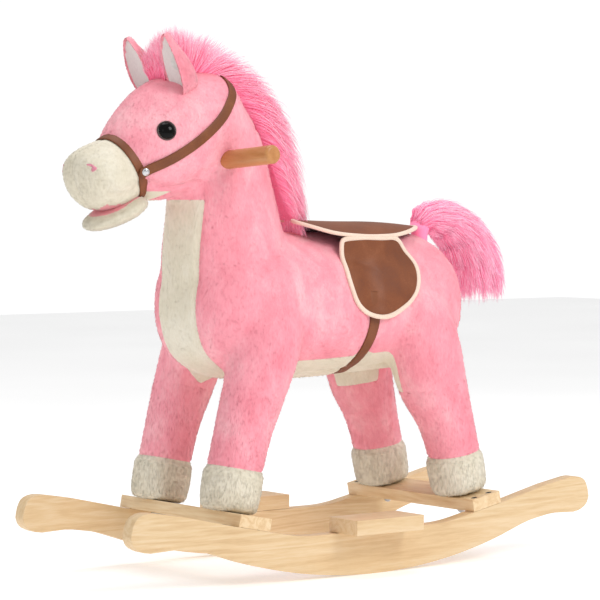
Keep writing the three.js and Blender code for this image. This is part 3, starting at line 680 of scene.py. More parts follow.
def part_off(piece, name, chosen):
    """Separates the chosen faces into their own piece."""
    choose(piece, chosen)
    return separate(piece, name)


def patch_off(piece, name, chosen, sink, thickness):
    """Lifts a copy of the chosen faces off as their own skin, and sinks what is left under it."""
    picks = choose(piece, chosen)
    shape = bmesh.from_edit_mesh(piece.data)
    inner = [all(picks[f.index] for f in vert.link_faces) for vert in shape.verts]
    bpy.ops.mesh.duplicate()
    new = separate(piece, name)
    put(piece, places(piece) - outward(piece) * (np.array(inner) * sink)[:, None])
    return modify(new, "SOLIDIFY", thickness=thickness, offset=-1.0)


def close(piece):
    """Covers the cut openings, inside the seams."""
    edit(piece)
    bpy.ops.mesh.select_all(action="DESELECT")
    bpy.ops.mesh.select_non_manifold()
    bpy.ops.mesh.fill_holes(sides=0)
    bpy.ops.mesh.select_all(action="SELECT")
    bpy.ops.mesh.normals_make_consistent(inside=False)
    bpy.ops.object.mode_set(mode="OBJECT")
    return piece


pieces = {}
for end in ENDS:
    frame_of_end = end_frame(end)
    up = frame_of_end.to_3x3() @ Vector((0, 0, 1))
    for height in (HOOF_TOP, LEG_TOP):
        level = frame_of_end @ Vector((0, 0, height * MM))
        cut(hide, level, up, lambda m: leg_zone(end, m) & (m[:, 2] < 0.305))
    for side in SIDES:
        hand = 1 if side == "left" else -1
        for kind, top in (("hoof", HOOF_TOP), ("leg", LEG_TOP)):
            node = f"{end}_{side}_{kind}"
            pieces[node] = part_off(hide, f"{node}_plush", lambda m: (
                (in_frame(end, m)[:, 2] < top * MM) & leg_zone(end, m) & (m[:, 1] * hand > 0)
            ))
face_side = lambda m: (m[:, 0] > 0.22) & (m[:, 2] > 0.4)
cut(hide, NOSEBAND, NOSE, face_side)
pieces["muzzle"] = part_off(hide, "muzzle_plush", lambda m: face_side(m) & (beyond(m, NOSEBAND, NOSE) > 0))
head_side = lambda m: (m[:, 2] > 0.44) & (m[:, 0] > 0.02)
cut(hide, NECK_SEAM[0], NECK_SEAM[1], head_side)
pieces["head"] = part_off(hide, "head_plush", lambda m: head_side(m) & (beyond(m, *NECK_SEAM) > 0))


def panel_half(m):
    return np.where(m[:, 0] > BELLY_FRONT, PANEL, BELLY)


def on_panel(m):
    throat = (m[:, 0] > THROAT) & (m[:, 2] >= BELLY_TOP) & (m[:, 2] < BIB_TOP)
    belly = (m[:, 2] < BELLY_TOP) & (m[:, 0] > BELLY_BACK)
    return throat | belly


def under_belly(m):
    return (m[:, 2] < BELLY_TOP) & (np.abs(m[:, 1]) < BELLY + 0.02)


for edge in (BELLY_FRONT, BELLY_BACK):
    cut(hide, (edge, 0, 0), (1, 0, 0), under_belly)
cut(hide, (0, 0, BIB_TOP), (0, 0, 1), lambda m: (m[:, 0] > THROAT) & (np.abs(m[:, 1]) < PANEL + 0.02))
for way in (1, -1):
    for half, front in ((PANEL, True), (BELLY, False)):
        cut(
            hide, (0, way * half, 0), (0, 1, 0),
            lambda m: on_panel(m) & ((m[:, 0] > BELLY_FRONT) == front) & (m[:, 1] * way > 0),
        )
cut(pieces["head"], (0, 0, CHIN), (0, 0, 1), lambda m: (m[:, 0] > 0.2) & (m[:, 2] < CHIN + 0.01))
close(hide)
pieces["chest_and_belly_panel"] = patch_off(hide, "belly_panel_plush", lambda m: (
    on_panel(m) & (np.abs(m[:, 1]) < panel_half(m)) & (beyond(m, *NECK_SEAM) < -0.0004)
), PANEL_SINK, PANEL_THICKNESS)
pieces["body"] = hide
for node, piece in pieces.items():
    if not node.startswith(("body", "chest")):
        close(piece)
    cream = node == "muzzle" or node.endswith("hoof") or node.startswith("chest")
    done(piece, "body_plush" if node == "body" else piece.name, cream_pile if cream else pink_pile)
    bpy.ops.object.shade_smooth_by_angle(angle=math.radians(72))
    finish_piece(piece, "root", node, fill=0.9)


def second_finish(piece, finish, chosen):
    """Gives the chosen faces, by their middles and outward directions, another finish."""
    piece.data.materials.append(finish)
    middles = np.array([f.center for f in piece.data.polygons])
    normals = np.array([f.normal for f in piece.data.polygons])
    for face, wanted in zip(piece.data.polygons, chosen(middles, normals)):
        if wanted:
            face.material_index = len(piece.data.materials) - 1


second_finish(pieces["head"], cream_pile, lambda m, n: (m[:, 0] > 0.2) & (m[:, 2] < CHIN))


# Finding places on the skin
def skin_beside(x, z, hand=1):
    """The skin's point and outward direction straight in from one side."""
    hit, normal, _, _ = skin.ray_cast(Vector((x, hand * 0.4, z)), Vector((0, -hand, 0)))
    return hit, normal


def skin_below(x, y):
    hit, normal, _, _ = skin.ray_cast(Vector((x, y, 0.8)), Vector((0, 0, -1)))
    return hit, normal


def skin_near(point):
    hit, normal, _, _ = skin.find_nearest(Vector(point))
    return hit, normal


def tube_section(width, thickness, points=8, square=4.0):
    """A flattened section with soft corners: pairs of shares across and outwards."""
    turns = np.linspace(0, 2 * math.pi, points, endpoint=False) + math.pi / points
    share = lambda v: np.sign(v) * np.abs(v) ** (2 / square)
    return [(share(math.cos(t)) * width / 2, share(math.sin(t)) * thickness / 2) for t in turns]


def band(name, path, outs, width, thickness, finish, ends="closed", points=12, square=5.0, taper=None):
    """A strap or binding that follows a path, lying across the outward directions."""
    path = [Vector(p) for p in path]
    count = len(path)
    rings = []
    for i, point in enumerate(path):
        if ends == "joined":
            along = path[(i + 1) % count] - path[i - 1]
        else:
            along = path[min(i + 1, count - 1)] - path[max(i - 1, 0)]
        out = Vector(outs[i]).normalized()
        across = along.cross(out).normalized()
        out = across.cross(along).normalized()
        scale = taper(i / (count - 1)) if taper else 1
        rings.append([
            point + across * a * scale + out * o for a, o in tube_section(width, thickness, points, square)
        ])
    return done(swept(name, rings, ends), name, finish)


def piece_copy(piece, name, matrix):
    """A copy with its own mesh, placed by a matrix that goes into the mesh."""
    twin = piece.copy()
    twin.data = piece.data.copy()
    bpy.context.scene.collection.objects.link(twin)
    twin.data.transform(matrix)
    if matrix.determinant() < 0:
        twin.data.flip_normals()
    return done(twin, name)


# Lower jaw, and the lined mouth
JAW = [
    (258, 447, 5, 20, -118), (264, 445, 11, 34, -116), (276, 439, 14.5, 40, -112), (291, 431, 14, 38, -106),
    (306, 424, 12, 33, -102), (319, 419, 9.5, 24, -98), (326, 417, 5, 13, -95),
]
jaw = stuffed("jaw", JAW, 20, 2.2, 32, shrink=1.5)
modify(jaw, "REMESH", mode="VOXEL", voxel_size=0.003)
modify(jaw, "SMOOTH", factor=0.5, iterations=3)
puff(jaw, 0.002)
modify(jaw, "SUBSURF", levels=1, render_levels=1)
done(jaw, "lower_jaw_plush", cream_pile)
second_finish(
    jaw, mouth_lining,
    lambda m, n: (n[:, 2] > 0.6) & (((m[:, 0] - 0.286) / 0.033) ** 2 + (m[:, 1] / 0.029) ** 2 < 1),
)
finish_piece(jaw, "jaw", "lower_jaw", fill=0.9)
second_finish(
    pieces["muzzle"], mouth_lining,
    lambda m, n: (n[:, 2] < -0.85) & (np.abs(m[:, 1]) < 0.026) & (m[:, 0] < 0.318) & (m[:, 2] < 0.452),
)


# Ears: a cupped leaf with a pale lining in front
EAR_HEIGHT = 76


def ear(side):
    hand = 1 if side == "left" else -1
    deselect()
    bpy.ops.mesh.primitive_uv_sphere_add(segments=44, ring_count=32, radius=1)
    piece = bpy.context.object
    co = places(piece)
    height = (co[:, 2] + 1) / 2
    radius = np.maximum(np.sqrt(1 - np.clip(co[:, 2], -1, 1) ** 2), 1e-4)
    marks = [0, 0.04, 0.12, 0.3, 0.5, 0.7, 0.84, 0.93, 0.98, 1]
    width = np.interp(height, marks, [0, 9, 14, 18.5, 18.5, 15, 10.5, 6.5, 3.6, 0])
    thick = np.interp(height, marks, [0, 5, 6, 5.5, 4.8, 4, 3.2, 2.4, 1.5, 0])
    behind = np.interp(height, marks, [0, 12, 17, 17, 15, 9, 5, 3.4, 2, 0])
    across = co[:, 1] / radius
    front = co[:, 0] / radius
    cup = 13 * across**2 * (1 - 0.45 * height)
    hollow = np.where(front > 0, 2.6 * (1 - across**2) * front * np.sin(np.pi * np.clip(height, 0, 1)), 0)
    lean_back = -5 * (height - 0.5) ** 2
    depth = front * np.where(front > 0, thick, behind) + cup - hollow - 0.5 + lean_back
    put(piece, np.stack([depth, across * width, (height - 0.5) * EAR_HEIGHT], axis=1) * MM)
    modify(piece, "SMOOTH", factor=0.5, iterations=4)

    def lined(m, n):
        share = m[:, 2] / MM / EAR_HEIGHT + 0.5
        reach = np.interp(share, marks, [0, 7, 11, 15.5, 15.6, 12.2, 8, 4.2, 1.5, 0])
        return (n[:, 0] > 0.25) & (np.abs(m[:, 1]) < reach * MM)

    done(piece, f"{side}_ear_plush", pink_pile)
    second_finish(piece, ear_lining, lined)
    place = (
        Matrix.Translation((0.226, hand * 0.037, 0.606))
        @ Matrix.Rotation(-hand * math.radians(5), 4, "Z")
        @ Matrix.Rotation(math.radians(24), 4, "Y")
        @ Matrix.Rotation(math.radians(-2 if side == "left" else 11), 4, "X")
    )
    piece.data.transform(place)
    modify(piece, "SUBSURF", levels=1, render_levels=1)
    return finish_piece(piece, "root", f"{side}_ear", fill=0.8)


pieces["left_ear"] = ear("left")
pieces["right_ear"] = ear("right")


# Eyes: a domed button in a brown rim
def eye(side):
    hand = 1 if side == "left" else -1
    hit, normal = skin_beside(0.2525, 0.527, hand)
    deselect()
    bpy.ops.mesh.primitive_uv_sphere_add(segments=40, ring_count=24, radius=0.0102)
    dome = bpy.context.object
    flatten(dome, 0.62)
    done(dome, f"{side}_eye_dome", eye_black)
    deselect()
    bpy.ops.mesh.primitive_torus_add(
        major_radius=0.0104, minor_radius=0.0013, major_segments=48, minor_segments=12
    )
    rim = bpy.context.object
    flatten(rim, 1.5)
    done(rim, f"{side}_eye_rim", eye_brown)
    turn = normal.to_track_quat("Z", "Y").to_matrix().to_4x4()
    for part, sunk in ((dome, 0.0002), (rim, 0.0004)):
        part.data.transform(Matrix.Translation(hit - normal * sunk) @ turn)
    take(dome, rim)
    bpy.ops.object.join()
    done(dome, f"{side}_eye_button")
    return finish_piece(dome, "root", f"{side}_eye", slot="eye")


for side in SIDES:
    eye(side)


# Stitching: one waxed stitch, modelled once and copied along each seam
def one_stitch(thickness):
    deselect()
    bpy.ops.mesh.primitive_cylinder_add(vertices=6, radius=thickness, depth=1, rotation=(0, math.pi / 2, 0))
    stitch = bpy.context.object
    bpy.ops.object.transform_apply(location=False, rotation=True, scale=False)
    edit(stitch, "FACE")
    bpy.ops.mesh.select_all(action="DESELECT")
    shape = bmesh.from_edit_mesh(stitch.data)
    for face in shape.faces:
        face.select_set(abs(face.normal.x) > 0.9)
    bmesh.update_edit_mesh(stitch.data)
    bpy.ops.mesh.inset(thickness=thickness * 0.45)
    bpy.ops.object.mode_set(mode="OBJECT")
    return stitch


def stitched(name, lines, finish, thickness):
    """Each line is a stitch's two ends and its outward direction."""
    pattern = one_stitch(thickness)
    co = places(pattern)
    faces = [tuple(f.vertices) for f in pattern.data.polygons]
    points, polygons = [], []
    for start, end, out in lines:
        start, end, out = Vector(start), Vector(end), Vector(out).normalized()
        along = end - start
        side = out.cross(along).normalized()
        base = len(points)
        for x, y, z in co:
            sink = out * (thickness * 0.9 * (1 - (2 * x) ** 2) - thickness * 0.4)
            points.append(start + along * (x + 0.5) + side * y + out * z * 0.8 + sink)
        polygons += [tuple(base + i for i in face) for face in faces]
    bpy.data.objects.remove(pattern)
    return finish_piece(done(from_points(name, points, polygons), name, finish), "root")


def nostril(side):
    hand = 1 if side == "left" else -1
    lines = []
    for i in range(13):
        share = i / 12 - 0.5
        lift = 0.4835 + share * 0.007 + 0.0015 * math.cos(share * math.pi)
        y = hand * (0.0285 + 0.004 * math.cos(share * math.pi) - share * 0.006)
        ends_of_stitch = []
        for way in (-1, 1):
            reach = 0.0032 * (1 - 2.4 * share**2)
            hit, normal, _, _ = skin.ray_cast(
                Vector((0.42, y + hand * way * reach * -0.7, lift + way * reach * 0.55)), Vector((-1, 0, 0))
            )
            ends_of_stitch.append(hit + normal * 0.0006)
        lines.append((ends_of_stitch[0], ends_of_stitch[1], normal))
    return stitched(f"{side}_nostril_stitching", lines, pink_thread, 0.0006)


for side in SIDES:
    nostril(side)

# Bridle
STRAP = 0.0125
STRAP_THICKNESS = 0.0024
STRAP_LIFT = 0.0016


def eased(points, times):
    """The same line with its small kinks smoothed out, and its ends kept."""
    points = np.array([list(point) for point in points])
    for _ in range(times):
        points[1:-1] = 0.5 * points[1:-1] + 0.25 * (points[:-2] + points[2:])
    return points


noseband_up = Vector((0.469, 0, 0.883))
noseband_path, noseband_outs = [], []
for step in range(84):
    turn = 2 * math.pi * step / 84
    way = noseband_up * math.cos(turn) + Vector((0, 1, 0)) * math.sin(turn)
    hit, normal, _, _ = skin.ray_cast(NOSEBAND + NOSE * -0.002, way)
    noseband_path.append(hit + way * STRAP_LIFT)
    noseband_outs.append(way)
smoothed = np.array(noseband_path)
for _ in range(6):
    smoothed = 0.5 * smoothed + 0.25 * (np.roll(smoothed, 1, 0) + np.roll(smoothed, -1, 0))
noseband = band("noseband_strap", smoothed, noseband_outs, STRAP, STRAP_THICKNESS, strap_leather, "joined")
finish_piece(noseband, "root", "noseband", slot="leather")

HEAD_STRAP_SIDE = [
    (0.2845, 0.4752), (0.2790, 0.4778), (0.2702, 0.4834), (0.2504, 0.4925), (0.2218, 0.5094),
    (0.1955, 0.5283), (0.1744, 0.5454), (0.1608, 0.5608),
]
HEAD_STRAP_TOP = [(0.151, 0.043), (0.147, 0.030), (0.146, 0.015), (0.146, 0)]
left_half = [skin_beside(x, z)[0] for x, z in HEAD_STRAP_SIDE]
left_half += [skin_below(x, y)[0] for x, y in HEAD_STRAP_TOP]
right_half = [Vector((p.x, -p.y, p.z)) for p in reversed(left_half[:-1])]
run = even(curve_through(left_half + right_half, 160), 120)
strap_path, strap_outs = [], []
for i, point in enumerate(run):
    hit, normal = skin_near(point)
    lift = STRAP_LIFT + STRAP_THICKNESS * (1 - soft_step(0.0, 0.07, min(i, 119 - i) / 119))
    strap_path.append(hit + normal * lift)
    strap_outs.append(normal)
strap_path = eased(strap_path, 8)
strap_outs = eased(strap_outs, 10)
rounded = lambda t: math.sqrt(max(0.06, 1 - max(0, 1 - min(t, 1 - t) / 0.013) ** 2))
head_strap = band(
    "head_strap_leather", strap_path, strap_outs, STRAP * 0.94, STRAP_THICKNESS, strap_leather, taper=rounded,
)
finish_piece(head_strap, "root", "head_strap", slot="leather")


def rivet(side):
    index = 3 if side == "left" else len(strap_path) - 4
    deselect()
    bpy.ops.mesh.primitive_uv_sphere_add(segments=24, ring_count=12, radius=0.0040)
    head = bpy.context.object
    flatten(head, 0.45)
    edit(head)
    bpy.ops.mesh.bisect(plane_co=(0, 0, -0.0004), plane_no=(0, 0, 1), clear_inner=True, use_fill=True)
    bpy.ops.object.mode_set(mode="OBJECT")
    deselect()
    bpy.ops.mesh.primitive_torus_add(
        major_radius=0.0039, minor_radius=0.0007, major_segments=28, minor_segments=8
    )
    ring = bpy.context.object
    take(head, ring)
    bpy.ops.object.join()
    out = Vector(strap_outs[index])
    turn = out.to_track_quat("Z", "Y").to_matrix().to_4x4()
    head.data.transform(Matrix.Translation(Vector(strap_path[index]) + out * STRAP_LIFT) @ turn)
    done(head, f"{side}_rivet_dome", silver)
    finish_piece(head, "root", f"{side}_rivet", slot="steel")


for side in SIDES:
    rivet(side)

# Saddle: a seat, a flap on each side and a girth
SEAT = [
    (33, 0), (38, 12), (47, 22), (46, 32), (30, 48), (10, 59), (-20, 63), (-50, 64), (-85, 61), (-120, 46),
    (-148, 22), (-158, 0),
]
SEAT_COUNT = 96
SEAT_CENTRE = np.array((-60.0, 0.0))


def seat_height(x, y):
    """The seat sags between its raised front and back, and its sides turn down."""
    middle = 417.5 + 0.00035 * (x + 60) ** 2 * (x > -60) - 0.0007 * (x + 60) ** 2 * (x < -60)
    return middle - 15.5 * (abs(y) / 62) ** 2.2


half = curve_through(SEAT, 60)
outline = np.vstack([half, (half * (1, -1))[-2:0:-1]])
outline = even(outline, SEAT_COUNT, closed=True)
seat_rings = []
for share in (1, 0.94, 0.86, 0.76, 0.65, 0.53, 0.41, 0.29, 0.17, 0.07):
    ring = SEAT_CENTRE + (outline - SEAT_CENTRE) * share
    seat_rings.append([Vector((x, y, seat_height(x, y))) * MM for x, y in ring])
seat = swept("saddle_seat_leather", seat_rings, "sheet")
modify(seat, "SUBSURF", levels=1, render_levels=1)
co = places(seat)
for i, (x, y, z) in enumerate(co):
    hit, _ = skin_below(x, y)
    if hit and hit.z + 0.0018 > z:
        co[i, 2] = hit.z + 0.0018
put(seat, co)
modify(seat, "SMOOTH", factor=0.5, iterations=3)
up_now = sum(f.normal.z * f.area for f in seat.data.polygons)
if up_now < 0:
    seat.data.flip_normals()


seat_tree = tree_of(seat)
modify(seat, "SOLIDIFY", thickness=0.0026, offset=1.0)
done(seat, None, brown_leather)
second_finish(seat, underside_cloth, lambda m, n: n[:, 2] < -0.5)


def rim_points(tree, points):
    found = []
    for point in points:
        hit, normal, _, _ = tree.find_nearest(Vector(point))
        found.append((hit, normal))
    return found


rim = rim_points(seat_tree, [Vector((x, y, seat_height(x, y))) * MM for x, y in outline])
seat_binding = band(
    "saddle_seat_binding",
    [hit + Vector((0, 0, 0.0013)) for hit, _ in rim],
    [(0, 0, 1)] * len(rim), 0.0062, 0.0048, cream_binding, "joined", 12, 2.6,
)
finish_piece(seat, "root", "saddle_seat", slot="leather")
finish_piece(seat_binding, "root", slot="leather")

FLAP = [
    (3, 400), (3, 383), (4, 364), (4, 343), (2, 327), (-5, 316), (-18, 308), (-36, 304), (-56, 307),
    (-76, 315), (-93, 327), (-104, 343), (-109, 362), (-103, 380), (-86, 400), (-60, 401), (-28, 402),
]


def flap(side):
    hand = 1 if side == "left" else -1
    loop = even(curve_through(FLAP + FLAP[:1], 150)[:-1], 80, closed=True)
    centre = np.array((-50.0, 355.0))

    def spot(x, z):
        drop = float(soft_step(0, 1, (402 - z) / 98))
        rim_y = np.interp(x, [-110, -85, -50, -20, 10], [53, 61, 64, 63, 59.5])
        y = rim_y + 1.5 + 27 * max(0, (355 - z) / 50) ** 1.3 * (z < 355) + 3 * drop
        hit, _ = skin_beside(x * MM, z * MM, 1)
        if hit is not None:
            y = max(y, hit.y / MM + 2.4)
        return Vector((x, hand * y, z)) * MM

    rings = []
    for share in (1, 0.95, 0.88, 0.8, 0.7, 0.6, 0.5, 0.4, 0.3, 0.2, 0.1):
        rings.append([spot(*(centre + (point - centre) * share)) for point in loop])
    leather_flap = swept(f"{side}_flap", rings, "sheet")
    modify(leather_flap, "SMOOTH", factor=0.5, iterations=6)
    modify(leather_flap, "SUBSURF", levels=1, render_levels=1)
    facing = sum(f.normal.y * f.area for f in leather_flap.data.polygons) * hand
    if facing < 0:
        leather_flap.data.flip_normals()
    tree = tree_of(leather_flap)
    modify(leather_flap, "SOLIDIFY", thickness=0.0022, offset=-1.0)
    done(leather_flap, f"{side}_flap_leather", brown_leather)
    second_finish(leather_flap, underside_cloth, lambda m, n: n[:, 1] * hand < -0.3)
    edge = rim_points(tree, [spot(*point) for point in loop])
    out_of_side = []
    for hit, normal in edge:
        out_of_side.append(normal if normal.y * hand > 0 else -normal)
    bound = band(
        f"{side}_flap_binding", [hit - out * 0.0008 for (hit, _), out in zip(edge, out_of_side)],
        out_of_side, 0.0060, 0.0042, cream_binding, "joined", 12, 2.6,
    )
    finish_piece(leather_flap, "root", f"{side}_saddle_flap", slot="leather")
    finish_piece(bound, "root", slot="leather")


for side in SIDES:
    flap(side)

GIRTH = 0.015
girth_path, girth_outs = [], []
for step in range(90):
    turn = math.radians(-12 + (204 * step / 89))
    way = Vector((0, math.cos(turn), -math.sin(turn)))
    lean = -0.0310 + 0.006 * math.sin(turn)
    hit, normal, _, _ = skin.ray_cast(Vector((lean, 0, 0.318)), way)
    girth_path.append(hit + normal * STRAP_LIFT)
    girth_outs.append(normal)
girth = band(
    "girth_leather", eased(girth_path, 6), eased(girth_outs, 6), GIRTH, STRAP_THICKNESS, strap_leather,
)
finish_piece(girth, "root", "girth_strap", slot="leather")


# Base: the sawn pieces, their long edges rounded over
def sawn(node, finish, width):
    source = frame["nodes"][node]
    timber_piece = source.copy()
    timber_piece.data = source.data.copy()
    timber_piece.parent = None
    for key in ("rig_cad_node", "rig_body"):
        if key in timber_piece:
            del timber_piece[key]
    timber_piece.hide_render = timber_piece.hide_viewport = False
    bpy.context.scene.collection.objects.link(timber_piece)
    recalculate(timber_piece)
    edit(timber_piece)
    bpy.ops.mesh.select_all(action="SELECT")
    bpy.ops.mesh.dissolve_limited(angle_limit=math.radians(1))
    bpy.ops.object.mode_set(mode="OBJECT")
    modify(
        timber_piece, "BEVEL", width=width, segments=3, limit_method="ANGLE", angle_limit=math.radians(38),
        use_clamp_overlap=True,
    )
    done(timber_piece, f"{node}_wood", finish, smooth=False)
    bpy.ops.object.shade_smooth_by_angle(angle=math.radians(28))
    return finish_piece(timber_piece, "root", node, slot="pine")


for side in SIDES:
    sawn(f"{side}_rocker", pine, 0.0022)
    sawn(f"{side}_footrest", pine, 0.0016)
for end in ENDS:
    sawn(f"{end}_crossbar", crossbar_pine, 0.0014)

# Handle: a turned dowel with rounded ends
deselect()
bpy.ops.mesh.primitive_cylinder_add(vertices=56, radius=0.011, depth=0.280, rotation=(math.pi / 2, 0, 0))
handle = bpy.context.object
bpy.ops.object.transform_apply(location=False, rotation=True, scale=False)
modify(handle, "BEVEL", width=0.0042, segments=6, limit_method="ANGLE", angle_limit=math.radians(50))
handle.data.transform(Matrix.Translation((0.162, 0, 0.491)) @ Matrix.Rotation(math.radians(3.5), 4, "X"))
done(handle, "handle_dowel", dowel_wood, smooth=False)
bpy.ops.object.shade_smooth_by_angle(angle=math.radians(30))
finish_piece(handle, "root", "handle_bar", slot="dowel")


# Screws and bolts, modelled once and copied
def screw_pattern():
    deselect()
    bpy.ops.mesh.primitive_cylinder_add(vertices=24, radius=0.0040, depth=0.0030, location=(0, 0, -0.0015))
    head = bpy.context.object
    modify(head, "BEVEL", width=0.0004, segments=2, limit_method="ANGLE", angle_limit=math.radians(50))
    for turn in (0, math.pi / 2):
        deselect()
        bpy.ops.mesh.primitive_cube_add(size=1, location=(0, 0, 0), rotation=(0, 0, turn))
        slot_cutter = bpy.context.object
        slot_cutter.scale = (0.0046, 0.0009, 0.0030)
        bpy.ops.object.transform_apply(location=True, rotation=True, scale=True)
        modify(head, "BOOLEAN", operation="DIFFERENCE", object=slot_cutter)
        bpy.data.objects.remove(slot_cutter)
    deselect()
    bpy.ops.mesh.primitive_cone_add(
        vertices=10, radius1=0.0006, radius2=0.0019, depth=0.031, location=(0, 0, -0.0180)
    )
    shank = bpy.context.object
    take(head, shank)
    bpy.ops.object.join()
    return done(head, "screw_pattern", dark_steel, smooth=False)


def bolt_pattern():
    deselect()
    bpy.ops.mesh.primitive_cylinder_add(vertices=32, radius=0.009, depth=0.0015, location=(0, 0, -0.00075))
    washer = bpy.context.object
    modify(washer, "BEVEL", width=0.0003, segments=2, limit_method="ANGLE", angle_limit=math.radians(50))
    deselect()
    bpy.ops.mesh.primitive_cylinder_add(vertices=6, radius=0.0064, depth=0.0050, location=(0, 0, -0.0040))
    nut = bpy.context.object
    modify(nut, "BEVEL", width=0.0006, segments=2, limit_method="ANGLE", angle_limit=math.radians(40))
    deselect()
    bpy.ops.mesh.primitive_uv_sphere_add(segments=24, ring_count=14, radius=0.0052, location=(0, 0, -0.0062))
    dome = bpy.context.object
    bpy.ops.object.transform_apply(location=True, rotation=False, scale=False)
    deselect()
    bpy.ops.mesh.primitive_cylinder_add(vertices=14, radius=0.004, depth=0.050, location=(0, 0, 0.025))
    stem = bpy.context.object
    take(washer, nut, dome, stem)
    bpy.ops.object.join()
    done(washer, "bolt_pattern", steel, smooth=False)
    bpy.ops.object.shade_smooth_by_angle(angle=math.radians(30))
    return washer


screw = screw_pattern()
bolt = bolt_pattern()
CROSSBAR_TOP = 0.0153
for end in ENDS:
    local = end_frame(end)
    way = 1 if end == "front" else -1
    for side in SIDES:
        hand = 1 if side == "left" else -1
        for row, place in (("outer", way * 0.012), ("inner", -way * 0.012)):
            spot = local @ Matrix.Translation((place, hand * 0.116, CROSSBAR_TOP - 0.0003))
            turn = Matrix.Rotation(0.4 + place * 90 + hand, 4, "Z")
            turned_screw = piece_copy(screw, f"{end}_{side}_{row}_screw_head", spot @ turn)
            finish_piece(turned_screw, "root", f"{end}_{side}_{row}_screw", slot="dark_steel")
        fixed_bolt = piece_copy(
            bolt, f"{end}_{side}_leg_bolt_nut", local @ Matrix.Translation((0, hand * 0.073, 0))
        )
        finish_piece(fixed_bolt, "root", f"{end}_{side}_leg_bolt", slot="steel")
for pattern in (screw, bolt):
    bpy.data.objects.remove(pattern)

# Frame, boxes and pins inside the plush
INSIDE = {
    "leg_post": hidden_wood, "body_board": hidden_wood, "neck_post": hidden_wood, "box": case_plastic,
    "jaw_frame": case_plastic, "pin": steel, "sound_button": case_plastic,
}
for name, node in frame["nodes"].items():
    for word, finish in INSIDE.items():
        if word in name:
            node.data.materials.clear()
            node.data.materials.append(finish)

# Hair
chance = np.random.default_rng(7)


def locks(name, lines, widths, finish, shares, body):
    """Tapered locks: each line of points becomes a thin three-sided lock that ends in a point."""
    lines = np.asarray(lines)
    count, steps, _ = lines.shape
    along = np.gradient(lines, axis=1)
    along /= np.maximum(np.linalg.norm(along, axis=2, keepdims=True), 1e-9)
    side = np.cross(along, np.broadcast_to((0.31, 0.52, 0.79), along.shape))
    side /= np.maximum(np.linalg.norm(side, axis=2, keepdims=True), 1e-9)
    rise = np.cross(along, side)
    taper = np.linspace(1, 0, steps) ** 0.6
    corners = []
    for k in range(3):
        turn = 2 * math.pi * k / 3
        offset = side * math.cos(turn) + rise * math.sin(turn)
        corners.append(lines + offset * (widths[:, None, None] * taper[None, :, None]))
    rings = np.stack(corners, axis=2)[:, :-1]
    per = 3 * (steps - 1) + 1
    points = np.concatenate([rings.reshape(count, -1, 3), lines[:, -1:]], axis=1).reshape(-1, 3)
    pattern = [(0, 2, 1)]
    for s in range(steps - 2):
        for k in range(3):
            a, b = 3 * s + k, 3 * s + (k + 1) % 3
            pattern.append((a, b, b + 3, a + 3))
    last = 3 * (steps - 2)
    pattern += [(last + k, last + (k + 1) % 3, per - 1) for k in range(3)]
    polygons = [tuple(base + i for i in face) for base in range(0, count * per, per) for face in pattern]
    piece = from_points(name, points.tolist(), polygons)
    one = np.concatenate([np.repeat(np.linspace(0, 1, steps)[:-1], 3), [1.0]])
    for attribute, values in (("along", np.tile(one, count)), ("lock", np.repeat(shares, per))):
        layer = piece.data.attributes.new(attribute, "FLOAT", "POINT")
        layer.data.foreach_set("value", values.astype(np.float32))
    return finish_piece(done(piece, name, finish), body)


CREST = [  # root and tip of the mane at each place along the neck, forehead first: x, z, x, z
    (229, 592, 240, 626), (216, 600, 226, 646), (198, 600, 207, 655), (178, 598, 182, 648),
    (158, 590, 146, 641), (136, 580, 108, 620), (116, 567, 80, 597), (100, 549, 58, 568), (88, 529, 40, 540),
    (78, 508, 31, 507), (69, 486, 27, 474), (60, 462, 22, 446), (50, 440, 20, 428), (40, 427, 24, 419),
]


def mane_lines(count, low, high, spread, steps=6, wild=1.0, flow=2.1):
    crest = np.array(CREST, float)
    where = chance.uniform(low, high, count)
    values = np.array([np.interp(where, np.arange(len(crest)), column) for column in crest.T]).T
    # past the poll the hair is combed back and down, so its tips lie further on than its roots
    onward = where + flow * soft_step(1.2, 4.0, where)
    clump = np.round(onward * 5) / 5
    tips = np.array([np.interp(onward, np.arange(len(crest)), column) for column in crest.T]).T
    clump_tip = np.array([np.interp(clump, np.arange(len(crest)), column) for column in crest.T]).T
    past = np.maximum(onward - (len(crest) - 1), 0)
    share = chance.uniform(-1, 1, count)
    root = np.stack([values[:, 0], share * spread, values[:, 1] - 4 * share**2 - 3], axis=1)
    tip_x = 0.6 * tips[:, 2] + 0.4 * clump_tip[:, 2] + past * 3
    tip_z = 0.6 * tips[:, 3] + 0.4 * clump_tip[:, 3] - past * 9
    reach = chance.uniform(0.5, 1.05, count) ** 0.8
    side_drop = np.abs(share) ** 1.6
    tip = np.stack([tip_x, share * spread * 1.5 + chance.normal(0, 2.2, count) * wild, tip_z], axis=1)
    tip = root + (tip - root) * reach[:, None]
    tip[:, 2] -= 10 * side_drop
    tip += chance.normal(0, 1.6, (count, 3)) * wild
    out = tip - root
    length = np.linalg.norm(out, axis=1, keepdims=True)
    bend = root + out * 0.45
    bend[:, 2] += 0.16 * length[:, 0]
    bend[:, 0] -= 0.22 * length[:, 0] * soft_step(2.0, 4.0, where)
    bend[:, 1] += share * 5
    t = np.linspace(0, 1, steps)[None, :, None]
    curve = (1 - t) ** 2 * root[:, None] + 2 * t * (1 - t) * bend[:, None] + t**2 * tip[:, None]
    wave = np.sin(t * 7 + chance.uniform(0, 6, count)[:, None, None]) * t * 1.3 * wild
    curve = curve + wave * chance.normal(0, 1, (count, 1, 3))
    return curve * MM


